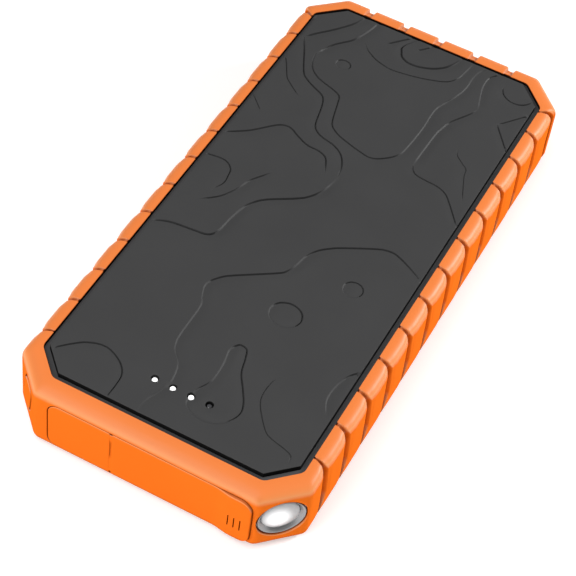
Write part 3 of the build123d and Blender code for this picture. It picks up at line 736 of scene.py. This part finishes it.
def build_strap(material):
    """Thin moulded web that joins the flap to its anchor behind the fold line."""
    skin = Skin()
    fold = (ANCHOR_HIGH[0] + FLAP_LOW[0]) / 2
    low, high = COVER_Z[0] + 1.3, COVER_Z[1] - 0.5
    heights = np.array([low + 0.15, *STRAP_OPEN, high - 0.15])
    opened = smooth(STRAP_OPEN[0], STRAP_OPEN[2], heights)
    opened *= 1 - smooth(STRAP_OPEN[3], STRAP_OPEN[5], heights)
    rings = []
    for share in np.linspace(-1, 1, 13):
        x = fold + STRAP_HALF * share
        back = NEAR + 1.15 + 0.2 * share ** 2
        depths = 0.04 + 0.2 * opened * (1 - share ** 4)
        front = [(x, NEAR + depth, z) for depth, z in zip(depths, heights)]
        rings.append(front + [(x, NEAR + 0.2, high), (x, back - 0.15, high), (x, back, high - 0.15),
                              (x, back, low + 0.15), (x, back - 0.15, low), (x, NEAR + 0.2, low)])
    rows = skin.rings(rings)
    skin.faces.append(tuple(rows[0]))
    skin.faces.append(tuple(reversed(rows[-1])))
    strap = skin.make("cover_strap", material)
    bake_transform(strap)


# ---------------------------------------------------------------- relief panel
# Contours of the panel's relief. Each has its depth, the side the surface is low on (+1 is left of its
# direction) and the points its curve runs through.
CONTOURS = [
    (0.42, 1, [(-23.2, 83.8), (-25.4, 78.6), (-28.9, 73.3), (-33.3, 67.9), (-35.3, 64.8)]),
    (0.34, -1, [(-35.3, 64.8), (-32.6, 60.1), (-28.4, 51.5), (-26.1, 48.9), (-22.6, 46.9), (-19.5, 45.4),
        (-17.9, 43.6), (-16.7, 40.1), (-15.1, 33.3), (-13.3, 30.8), (-10.8, 29.6), (-7.0, 28.6),
        (-3.9, 26.7), (-2.0, 24.2), (-0.8, 21.4), (-0.3, 18.3)]),
    (0.42, 1, [(-0.3, 18.3), (-0.8, 14.5), (-2.0, 10.1), (-4.2, 6.4), (-7.0, 3.9), (-13.9, -1.1),
        (-16.7, -4.9), (-17.9, -8.6), (-18.6, -13.0), (-19.0, -17.4), (-19.8, -19.9), (-21.4, -21.0),
        (-24.5, -21.4), (-32.0, -22.4), (-37.5, -25.4)]),
    (0.40, 1, [(-19.2, 83.8), (-19.8, 79.5), (-21.1, 75.1), (-22.6, 71.4), (-26.1, 67.0), (-27.9, 63.3),
        (-28.8, 60.1)]),
    (0.30, -1, [(-28.8, 60.1), (-27.9, 56.4), (-26.4, 53.6), (-23.3, 51.1), (-17.0, 48.9), (-14.5, 47.3),
        (-13.4, 43.9), (-11.4, 36.7), (-9.5, 34.2), (-5.8, 32.3), (1.8, 30.1), (4.9, 30.1), (8.0, 32.3),
        (10.2, 35.1), (11.0, 38.3), (11.6, 48.3), (11.4, 57.0), (12.4, 61.4), (14.3, 66.4), (15.4, 71.4),
        (15.4, 76.4), (16.1, 80.1), (18.2, 83.8)]),
    (0.30, 1, [(22.6, 83.8), (19.9, 80.1), (19.3, 77.0), (19.9, 72.6), (22.1, 65.1)]),
    (0.36, 1, [(22.1, 65.1), (21.4, 62.9), (17.4, 55.8), (16.4, 52.0), (15.8, 48.3), (15.5, 35.8),
        (15.8, 33.6)]),
    (0.26, -1, [(15.8, 33.6), (17.7, 31.1), (21.1, 30.4), (24.9, 30.1), (28.0, 28.9), (30.5, 26.4),
        (37.0, 18.0)]),
    (0.45, -1, [(-4.3, 83.8), (-7.0, 79.5), (-7.9, 77.0), (-7.3, 75.4), (-6.1, 73.3), (-3.3, 72.1),
        (0.5, 72.6), (4.3, 74.5), (7.1, 77.6), (9.8, 83.8)]),
    (0.34, -1, [(-12.8, 76.1), (-10.1, 79.5), (-6.6, 83.8)]),
    (0.30, -1, [(-3.7, 78.6), (-1.4, 81.4), (0.4, 83.8)]),
    (0.24, -1, [(-17.8, 71.7), (-15.8, 69.8), (-12.6, 67.9), (-9.5, 66.9), (-5.8, 66.5), (1.8, 67.9),
        (8.6, 70.4), (11.1, 72.9), (12.1, 75.8), (13.2, 83.8)]),
    (0.26, 1, [(37.5, 73.1), (29.9, 62.8)]),
    (0.26, -1, [(29.9, 62.4), (37.5, 52.3)]),
    (0.28, -1, [(25.2, 77.6), (26.4, 75.4), (28.6, 73.9), (31.1, 73.7), (33.3, 74.8), (35.4, 77.8)]),
    (0.14, -1, [(24.3, 46.1), (25.2, 44.2), (27.4, 42.3), (29.6, 40.4), (30.2, 37.6), (33.5, 29.0)]),
    (0.20, -1, [(-37.4, 56.6), (-33.9, 50.8), (-31.4, 46.4), (-29.5, 44.5), (-25.1, 41.1)]),
    (0.16, -1, [(-37.4, 35.4), (-33.9, 32.0), (-31.4, 29.5)]),
    (0.34, -1, [(-37.4, 15.2), (-32.0, 19.2), (-29.5, 21.4), (-24.8, 26.7), (-22.3, 28.1), (-20.1, 27.9),
        (-17.0, 26.1), (-13.3, 24.5), (-9.5, 24.2), (-6.7, 22.9), (-5.1, 20.1), (-4.2, 17.6)]),
    (0.30, -1, [(-37.4, 5.7), (-31.4, 6.5), (-28.9, 5.8), (-27.0, 3.9), (-26.4, 1.4), (-26.1, -1.8),
        (-27.6, -5.6)]),
    (0.30, 1, [(-17.1, 9.0), (-20.4, 3.9), (-21.4, 1.4), (-22.0, -1.0), (-23.3, -3.9), (-25.1, -6.8),
        (-28.8, -10.4)]),
    (0.36, 1, [(37.5, -5.7), (33.0, -2.7), (26.8, 0.3), (23.6, 0.4), (20.5, -0.8), (13.0, -5.2),
        (9.9, -7.4), (7.4, -9.9), (6.0, -12.4), (5.2, -14.9), (4.6, -18.6), (3.6, -21.1), (1.8, -23.0),
        (-7.6, -29.9), (-10.1, -32.1), (-12.0, -34.9), (-12.6, -37.4), (-11.4, -41.1), (-10.1, -44.3),
        (-9.9, -54.3), (-9.5, -58.0), (-8.3, -60.8), (-5.4, -64.3), (-4.2, -69.6), (-4.8, -73.0),
        (-6.8, -79.3), (-6.7, -83.8)]),
    (0.16, -1, [(19.9, -53.6), (18.3, -56.1), (18.0, -61.1), (19.3, -64.9), (23.6, -70.5), (26.1, -72.1),
        (32.4, -73.9), (33.4, -76.4)]),
    (0.34, 1, [(37.5, -39.8), (34.6, -43.0), (33.3, -45.5), (32.3, -49.9), (32.4, -54.3), (34.3, -58.6)]),
    (0.32, -1, [(-36.0, -78.0), (-33.9, -74.9), (-30.1, -71.1), (-27.6, -69.6), (-25.1, -68.8),
        (-22.6, -68.9), (-19.5, -70.2), (-17.0, -72.1), (-15.4, -74.6), (-15.0, -78.0), (-15.1, -83.8)]),
]


def oval(x, y, half_x, half_y):
    """Eight points round a small pit."""
    return [(x + half_x * math.cos(a), y + half_y * math.sin(a)) for a in np.arange(8) * math.pi / 4]


# Closed pits, low inside: depth and the points round them, the other way round from the clock.
PITS = [
    (0.26, oval(-19.8, 60.1, 2.5, 2.2)),
    (0.26, oval(21.9, -17.5, 3.0, 2.9)),
    (0.34, oval(10.6, -34.9, 4.8, 4.4)),
    (0.34, [(3.5, -53.0), (4.3, -57.4), (4.6, -61.8), (4.3, -64.9), (2.7, -68.6), (2.1, -72.4), (3.0, -74.6),
        (5.5, -76.1), (9.3, -76.6), (13.0, -75.2), (15.2, -72.4), (16.1, -69.3), (15.2, -66.1),
        (13.0, -62.4), (10.2, -58.0), (8.9, -53.6), (7.7, -50.5), (5.8, -49.8), (4.6, -50.4)]),
]
FAR_RIGHT = np.array([0.45, 0.89])    # walls that face this way are softer
STEP_OFFSETS = (-0.3, 0.0, 0.25, 0.75, 1.0, 1.3, 2.0, 3.6, 6.0)      # in line widths
CURVE_PARTS = 24                      # points worked out between two given points of a contour
WINDOW_CLEAR = WINDOW_RADIUS + 0.6


def smooth_line(points, step=0.7, closed=False):
    """Even points along a curve through the given ones."""
    p = np.array(points, float)
    ends = (p[-1:], p[:2]) if closed else (2 * p[:1] - p[1:2], 2 * p[-1:] - p[-2:-1])
    p = np.vstack([ends[0], p, ends[1]])
    fine = []
    for a, b, c, d in zip(p, p[1:], p[2:], p[3:]):
        for t in np.linspace(0, 1, CURVE_PARTS, endpoint=False):
            fine.append(0.5 * (2 * b + (c - a) * t + (2 * a - 5 * b + 4 * c - d) * t ** 2
                               + (3 * b - a - 3 * c + d) * t ** 3))
    fine.append(p[-2])
    fine = np.array(fine)
    run = np.concatenate([[0], np.cumsum(np.linalg.norm(np.diff(fine, axis=0), axis=1))])
    at = np.linspace(0, run[-1], max(3, round(run[-1] / step) + 1))
    return np.stack([np.interp(at, run, fine[:, 0]), np.interp(at, run, fine[:, 1])], -1)


def shifted(line, offset):
    """The line moved sideways, to its left."""
    way = np.gradient(line, axis=0)
    way /= np.linalg.norm(way, axis=1)[:, None]
    return line + offset * np.stack([-way[:, 1], way[:, 0]], -1)


def signed_distance(points, line):
    """Distance to the left of a line, the share of its length there, and the direction to its left."""
    away, where = distance_to_lines(points, [line])
    at = np.clip(where * (len(line) - 1), 0, len(line) - 1.001)
    low = at.astype(int)
    way = line[low + 1] - line[low]
    here = line[low] + way * (at - low)[:, None]
    gap = np.asarray(points, float) - here
    left = np.stack([-way[:, 1], way[:, 0]], -1) / np.linalg.norm(way, axis=1)[:, None]
    return np.sign((left * gap).sum(1)) * away, where, left


def line_width(deep):
    """Width of a contour's wall and groove: deeper ones are broader."""
    return 0.18 + 0.9 * deep


def relief_depth(points, steps):
    """How far the panel is sunk at points: a wall at each contour and a slow ramp up on its low side.

    Walls that face the near left are undercut by a narrow groove; walls that face the far right are softer.
    """
    depth = np.zeros(len(points))
    for deep, side, line, closed in steps:
        away, where, left = signed_distance(points, line)
        away = side * away
        soft = smooth(-0.15, 0.3, side * (left @ FAR_RIGHT))
        width = line_width(deep)
        taper = 1.0 if closed else smooth(0.0, 0.12, where) * smooth(0.0, 0.12, 1 - where)
        wall = (0.5 + 0.35 * soft) * smooth(0.0, (0.25 + 0.5 * soft) * width, away)
        ramp = wall * (1 - smooth(width, 2.6, away))
        groove = smooth(0.0, 0.25 * width, away) * (1 - smooth(0.75 * width, width, away))
        sunk = deep * (0.2 + 0.8 * taper) * (ramp + 1.25 * (1 - soft) * groove)
        past_end = ((where <= 0) | (where >= 1)) & (not closed)
        depth = np.maximum(depth, np.where(past_end, sunk * (1 - smooth(0.0, 0.6, np.abs(away))), sunk))
    return depth


def panel_outline(inset):
    """The panel's cut-corner outline, moved in."""
    half_x, half_y, cut = PANEL[0] - inset, PANEL[1] - inset, PANEL[2] - CUT_SHRINK * inset
    corners = [(half_x - cut, -half_y), (half_x, cut - half_y),
               (half_x, half_y - cut), (half_x - cut, half_y)]
    corners += [(-x, -y) for x, y in corners]
    return spaced(corners, 0.6)


def clear_of_windows(points):
    """Which points are well away from every window hole."""
    away = [np.hypot(points[:, 0] - x, points[:, 1] - WINDOW_Y) for x in WINDOW_XS]
    return np.min(away, axis=0) > WINDOW_CLEAR


def build_panel(material, side_shade_material):
    """Dark top panel with its engraved relief and the four window holes."""
    skin = Skin()
    steps = [(deep, side, smooth_line(points), False) for deep, side, points in CONTOURS]
    steps += [(deep, 1, smooth_line(points, 0.5, closed=True), True) for deep, points in PITS]
    guard = panel_outline(0.7)
    lines = []
    for deep, side, line, _ in steps:
        for offset in STEP_OFFSETS:
            moved = shifted(line, side * offset * line_width(deep))
            kept = inside(moved, guard) & clear_of_windows(moved)
            breaks = np.flatnonzero(np.diff(kept.astype(int))) + 1
            runs = zip(np.split(moved, breaks), np.split(kept, breaks))
            lines.extend(run for run, keep in runs if len(run) > 1 and keep[0])
    outer = panel_outline(0.0)
    rims = [panel_outline(0.06), panel_outline(0.25)]
    holes = [circle((x, WINDOW_Y), WINDOW_RADIUS, 28) for x in WINDOW_XS]
    hole_rims = [circle((x, WINDOW_Y), WINDOW_RADIUS + grow, 28) for x in WINDOW_XS for grow in (0.06, 0.18)]
    grid = np.array([(x, y) for x in np.arange(-35.0, 35.1, 1.4) for y in np.arange(-81.2, 81.3, 1.4)])
    grid = grid[inside(grid, guard) & clear_of_windows(grid)]
    grid = grid[distance_to_lines(grid, lines)[0] > 0.35]
    points, triangles, loops = triangulate(outer, holes, lines, grid, rims + hole_rims)

    # Edges and window holes are rounded off a little: their rims sink most, the ring beside them less.
    height = PANEL_TOP - relief_depth(points, steps)
    first_rim = 1 + len(holes)
    first_hole_rim = first_rim + len(rims)
    height[loops[0]] -= 0.09
    height[loops[first_rim]] -= 0.02
    for i in range(len(holes)):
        height[loops[1 + i]] -= 0.14
        height[loops[first_hole_rim + 2 * i]] -= 0.04
    index = skin.flat((np.column_stack([points, height]), triangles))
    low = PANEL_LOW[2]
    # The panel's side walls and its window holes' walls take the second material, black, as painted shade.
    first_side = len(skin.faces)
    for loop in loops[:first_rim]:
        edge = [index[i] for i in loop]
        skin.strip(edge, skin.add([(*skin.points[i][:2], low) for i in edge]))
    side_faces = range(first_side, len(skin.faces))
    skin.flat(triangulate(outer, holes=holes), lambda p: [(x, y, low) for x, y in p])
    skin.piece("relief_panel", "housing", "top_panel", "panel_plastic",
               material, 38, side_shade_material, side_faces)


# ---------------------------------------------------------------- turned parts
def lathe(skin, profile, place, count=64):
    """Turns a profile of (radius, height) round an axis; place puts its points in space."""
    angle = np.arange(count) * 2 * math.pi / count
    rings = []
    for radius, height in profile:
        reach = max(radius, 1e-4)
        local = np.stack([reach * np.cos(angle), reach * np.sin(angle), np.full(count, height)], -1)
        rings.append(place(local))
    skin.rings(rings)


def torch_place(local):
    """Local points with their height out of the torch corner's face."""
    return on_corner(1, TORCH_HEIGHT, local)


def build_torch(ring_material, lens_material, mirror_material, chip_material):
    """Bezel ring, domed lens, reflector bowl and light source, all turned about the corner's axis."""
    ring = [(4.8, -2.9), (6.8, -2.9), (6.8, -1.3), (6.46, -1.3), (6.4, -0.5), (6.32, -0.38), (6.15, -0.42),
            (5.5, -1.1), (5.1, -1.5), (4.86, -1.7), (4.8, -1.9), (4.8, -2.9)]
    dome = [(5.1 * math.sin(a), -1.4 + 1.1 * math.cos(a)) for a in np.linspace(math.pi / 2, 0, 16)]
    lens = [(0, -2.6), (4.5, -2.6), (4.74, -2.4), (4.74, -1.8)] + dome
    bowl = [(1.5 + 2.9 * t ** 0.6, -5.45 + 2.5 * t) for t in np.linspace(0, 1, 12)]
    bowl_back = [(r + 0.3, h - 0.2) for r, h in bowl[::-1]]
    chip = [(0, -5.9), (1.25, -5.9), (1.25, -5.45), (1.1, -5.35), (0.95, -5.05), (0.6, -4.8), (0, -4.72)]
    for name, node, slot, material, profile, count in (
            ("torch_ring", "torch_bezel", "bezel_metal", ring_material, ring, 64),
            ("torch_dome", "torch_lens", "torch_clear", lens_material, lens, 64),
            ("torch_bowl", "torch_reflector", "reflector_chrome", mirror_material,
             bowl + [(4.7, -2.95), (4.7, -3.2)] + bowl_back + bowl[:1], 64),
            ("torch_source", "torch_led", "led_white", chip_material, chip, 32)):
        skin = Skin()
        lathe(skin, profile, torch_place, count)
        skin.piece(name, "housing", node, slot, material)


def build_windows(lit_material, dark_material):
    """Light pipes of the charge windows: a domed tip, a shoulder and a stem each."""
    pipe_low, pipe_high = node_box("charge_light_pipes")
    top, foot = pipe_high[2], pipe_low[2]
    shape = [(0, foot), (0.85, foot), (0.85, foot + 0.6), (0.9, foot + 0.8), (0.9, top - 1.6),
             (0.76, top - 1.4), (0.76, top - 0.4), (0.7, top - 0.3), (0.55, top - 0.22), (0.3, top - 0.18),
             (0, top - 0.17)]
    for name, xs, material, node, slot in (
            ("lit_windows", WINDOW_XS[:3], lit_material, "charge_light_pipes", "lit_window"),
            ("unlit_window", WINDOW_XS[3:], dark_material, "full_charge_light_pipe", "clear_plastic")):
        skin = Skin()
        for x in xs:
            lathe(skin, shape, lambda local, x=x: local + (x, WINDOW_Y, 0.0), 28)
        skin.piece(name, "housing", node, slot, material)


# ---------------------------------------------------------------- camera, light and floor
CAMERA_LENS = 116.96
CAMERA_PLACE = (0.12455, -0.33035, 0.37712 + LIP_HEIGHT * MM)
CAMERA_TURN = (40.5707, -5.5695, 27.6396)        # degrees


def place_camera():
    """Long lens above the torch corner."""
    data = bpy.data.cameras.new("camera")
    data.lens = CAMERA_LENS
    data.sensor_width = 36.0
    data.clip_start = 0.01
    camera = bpy.data.objects.new("camera", data)
    camera.location = CAMERA_PLACE
    camera.rotation_euler = [math.radians(a) for a in CAMERA_TURN]
    bpy.context.scene.collection.objects.link(camera)
    bpy.context.scene.camera = camera


def soft_light(name, place, size, watts):
    """Round lamp aimed at the middle of the floor."""
    data = bpy.data.lights.new(name, "AREA")
    data.shape = "DISK"
    data.size = size
    data.energy = watts
    light = bpy.data.objects.new(name, data)
    light.location = place
    light.rotation_euler = (-Vector(place)).to_track_quat("-Z", "Y").to_euler()
    bpy.context.scene.collection.objects.link(light)


def studio():
    """White surroundings, three soft lamps and a plain pale floor."""
    world = bpy.data.worlds.new("studio")
    world.use_nodes = True
    world.node_tree.nodes["Background"].inputs["Color"].default_value = WHITE
    world.node_tree.nodes["Background"].inputs["Strength"].default_value = 0.25
    bpy.context.scene.world = world
    soft_light("overhead_light", (-0.22, -0.33, 0.85), 0.8, 4.0)
    soft_light("side_light", (0.66, 0.66, 0.48), 0.3, 9.0)
    soft_light("front_light", (-0.35, -0.85, 0.5), 0.7, 5.0)
    mesh = bpy.data.meshes.new("floor")
    reach = 3.0
    corners = [(-reach, -reach, 0), (reach, -reach, 0), (reach, reach, 0), (-reach, reach, 0)]
    mesh.from_pydata(corners, [], [(0, 1, 2, 3)])
    mesh.materials.append(finish("floor_white", (0.8, 0.8, 0.8), 0.7, mottle=0.01, grain=0.0,
                                 light=(0.4, WHITE)))
    floor = bpy.data.objects.new("floor", mesh)
    bpy.context.scene.collection.objects.link(floor)
    bpy.context.scene.view_settings.view_transform = "Standard"
    bpy.context.scene.view_settings.look = "None"


# ---------------------------------------------------------------- materials
def connect(tree, node, inputs):
    """Sets a node's inputs to values, or links them to other nodes' outputs."""
    for socket, value in inputs.items():
        if isinstance(value, bpy.types.NodeSocket):
            tree.links.new(value, node.inputs[socket])
        else:
            node.inputs[socket].default_value = value


def add_node(tree, kind, inputs, **settings):
    """New shader node with its settings and its inputs."""
    node = tree.nodes.new("ShaderNode" + kind)
    for setting, value in settings.items():
        setattr(node, setting, value)
    connect(tree, node, inputs)
    return node


def map_range(tree, value, ends, results=(0.0, 1.0), **settings):
    """Output of a node that turns one range of values into another."""
    inputs = dict(zip(("From Min", "From Max", "To Min", "To Max"), (*ends, *results)))
    return add_node(tree, "MapRange", {"Value": value, **inputs}, **settings).outputs["Result"]


def mix_colours(tree, share, first, second):
    """Output of a node that mixes two colours."""
    inputs = {"Factor": share, "A": first, "B": second}
    return add_node(tree, "Mix", inputs, data_type="RGBA").outputs["Result"]


def finish(name, colour, rough, metal=0.0, mottle=0.05, rough_spread=0.06, grain=0.2, grain_size=0.25,
           painted_groove_shade=None, painted_highlight=None, glow_and_highlight=None, light=None, sockets=()):
    """Principled material with colour mottling, uneven roughness and a fine moulded grain.

    The crevice colour is painted shade, mixed in where ambient occlusion finds grooves and hollows, and the
    bloom colour is a painted highlight on faces that look upwards.
    The glow's strength and reach make the torch lens shine as lamp light, brightest off its middle as a
    painted highlight; light is a strength and a colour.
    """
    material = bpy.data.materials.new(name)
    material.use_nodes = True
    tree = material.node_tree
    where = add_node(tree, "TexCoord", {}).outputs
    patches = {"Scale": 60.0, "Detail": 5.0, "Vector": where["Object"]}
    broad = add_node(tree, "TexNoise", patches).outputs["Fac"]
    dull, bright = ((*(min(1.0, c * share) for c in colour), 1) for share in (1 - mottle, 1 + mottle))
    surface = mix_colours(tree, broad, dull, bright)
    roughness = map_range(tree, broad, (0.0, 1.0), (rough - rough_spread, rough + rough_spread))
    inputs = {"Metallic": metal, "Roughness": roughness, **dict(sockets)}
    if light:
        inputs["Emission Strength"], inputs["Emission Color"] = light
    if glow_and_highlight:
        # The torch lens glows as lamp light, strongest round a place off its middle that is a painted
        # highlight.
        strength, reach = glow_and_highlight
        middle = torch_place([TORCH_GLARE])[0] * MM
        spot = add_node(tree, "VectorMath", {0: where["Object"], 1: middle}, operation="DISTANCE")
        inputs["Emission Strength"] = map_range(tree, spot.outputs["Value"], (0.2 * reach, reach),
                                                (strength, 0.0), interpolation_type="SMOOTHSTEP")
        inputs["Emission Color"] = WHITE
    # Painted highlight: faces that look upwards are paled towards the bloom colour, most at mid-bevel, and
    # their specular level rises with them.
    if painted_highlight:
        upward = add_node(tree, "SeparateXYZ", {"Vector": where["Normal"]}).outputs["Z"]
        ramp = add_node(tree, "ValToRGB", {"Fac": upward})
        stops = ramp.color_ramp.elements
        stops[1].color = (0.1, 0.1, 0.1, 1.0)
        for place, share in ((0.15, 0.0), (0.5, 0.26), (0.75, 0.17)):
            stops.new(place).color = (share, share, share, 1.0)
        surface = mix_colours(tree, ramp.outputs["Color"], surface, (*painted_highlight, 1))
        inputs["Specular IOR Level"] = map_range(tree, upward, (0.1, 0.45), (0.0, 0.3))
    # Painted shade: the colour darkens towards the crevice colour where ambient occlusion finds grooves,
    # holes and seams.
    if painted_groove_shade:
        hollow = add_node(tree, "AmbientOcclusion", {"Distance": 3.0 * MM}, samples=8)
        open_share = map_range(tree, hollow.outputs["AO"], (0.42, 0.97))
        surface = mix_colours(tree, open_share, (*painted_groove_shade, 1), surface)
    if grain:
        texture = {"Scale": 1 / (grain_size * MM), "Detail": 2.0, "Vector": where["Object"]}
        fine = add_node(tree, "TexNoise", texture).outputs["Fac"]
        bump = add_node(tree, "Bump", {"Strength": grain, "Distance": 0.05 * MM, "Height": fine})
        inputs["Normal"] = bump.outputs["Normal"]
    connect(tree, tree.nodes["Principled BSDF"], {**inputs, "Base Color": surface})
    return material


# ---------------------------------------------------------------- build
place_camera()
studio()
# The rubber is darkened as painted shade in its grooves and seams, and paled as a painted highlight on its
# upward bevels.
rubber = finish("orange_rubber", (0.82, 0.16, 0.013), 0.42, mottle=0.04, grain=0.25,
                painted_groove_shade=(0.3, 0.05, 0.003), painted_highlight=(0.8, 0.68, 0.34))
soft_touch = finish("soft_touch_panel", (0.041, 0.041, 0.0415), 0.6, mottle=0.08, grain=0.4, grain_size=0.2,
                    sockets={"Specular IOR Level": 0.3})
dark_case = finish("dark_case", (0.058, 0.058, 0.06), 0.5, grain=0.3)
# Black for the real gaskets, and as painted shade inside the sleeve's top lip and on the panel's side and
# window walls.
black_seal_and_shade = finish("black_seal_and_shade", (0.006, 0.006, 0.006), 0.6, sockets={"Specular IOR Level": 0.1})
satin_ring = finish("satin_ring", (0.3, 0.3, 0.305), 0.35, metal=0.8, grain=0.1)
dome_clear = finish("dome_clear", (0.55, 0.55, 0.56), 0.2, mottle=0.01, rough_spread=0.03, grain=0.05,
                    glow_and_highlight=(0.8, 0.0046), sockets={"Transmission Weight": 0.1})
chrome = finish("chrome_bowl", (0.9, 0.9, 0.9), 0.08, metal=1.0, rough_spread=0.03, grain=0.03)
chip_white = finish("chip_white", (0.9, 0.88, 0.7), 0.4, light=(1.5, (1.0, 1.0, 0.95, 1.0)))
lit_pipe = finish("lit_pipe", (0.95, 0.95, 0.95), 0.3, light=(0.8, WHITE))
smoked_pipe = finish("smoked_pipe", (0.06, 0.06, 0.065), 0.2)

build_sleeve(rubber, black_seal_and_shade)
build_panel(soft_touch, black_seal_and_shade)
cover_half("port_flap_skin", "flap", "port_flap", rubber, (FLAP_LOW[0], FLAP_HIGH[0]),
           [FOLD_CORNER, COVER_CORNER, COVER_CORNER, FOLD_CORNER], rim=True)
cover_half("cover_anchor_skin", "housing", "cover_anchor", rubber, (ANCHOR_LOW[0], ANCHOR_HIGH[0]),
           [COVER_CORNER, FOLD_CORNER, FOLD_CORNER, COVER_CORNER])
build_strap(rubber)
build_key(rubber)
build_torch(satin_ring, dome_clear, chrome, chip_white)
build_windows(lit_pipe, smoked_pipe)

# The pieces inside and the case halves, and the finish each takes.
steel = finish("plated_steel", (0.55, 0.55, 0.54), 0.3, metal=1.0, grain=0.15)
foil = finish("pouch_foil", (0.62, 0.64, 0.67), 0.34, metal=0.85, mottle=0.1, grain=0.6, grain_size=0.8)
foam = finish("pad_foam", (0.05, 0.05, 0.05), 0.9, mottle=0.2, grain=1.0, grain_size=0.5)
nickel = finish("nickel_strip", (0.66, 0.6, 0.5), 0.28, metal=1.0)
mask = finish("solder_mask", (0.012, 0.13, 0.05), 0.3, mottle=0.15)
white_mask = finish("white_mask", (0.8, 0.81, 0.8), 0.4)
package = finish("chip_package", (0.02, 0.02, 0.02), 0.45)
orange_plastic = finish("socket_insulator", (0.85, 0.2, 0.02), 0.3)
ferrite = finish("ferrite", (0.1, 0.1, 0.105), 0.65, mottle=0.2)
can = finish("rolled_can", (0.7, 0.7, 0.72), 0.25, metal=1.0)
red_lead = finish("red_lead", (0.5, 0.02, 0.015), 0.4)
white_lead = finish("white_lead", (0.8, 0.8, 0.78), 0.4)
FINISHES = (
    (dark_case, "lower_case upper_case"),
    (black_seal_and_shade, "case_gasket torch_seal_ring"),
    (steel, "case_screws board_screws usb_a_shells usb_c_shell button_switch"),
    (foil, "battery_cell_lower battery_cell_upper"),
    (foam, "cell_divider_pad cell_end_pad"),
    (nickel, "cell_tabs"),
    (mask, "protection_board main_board button_board"),
    (white_mask, "torch_board"),
    (package, "protection_chips control_chips usb_c_tongue button_plunger"),
    (orange_plastic, "usb_a_tongues"),
    (ferrite, "power_inductors"),
    (can, "board_capacitors"),
    (chip_white, "charge_leds"),
)
NODE_FINISH = {name: material for material, names in FINISHES for name in names.split()}
for name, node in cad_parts.items():
    slots = node.data.materials
    for number in range(len(slots)):
        if name.endswith("_leads"):
            slots[number] = white_lead if number else red_lead
        elif name in NODE_FINISH:
            slots[number] = NODE_FINISH[name]
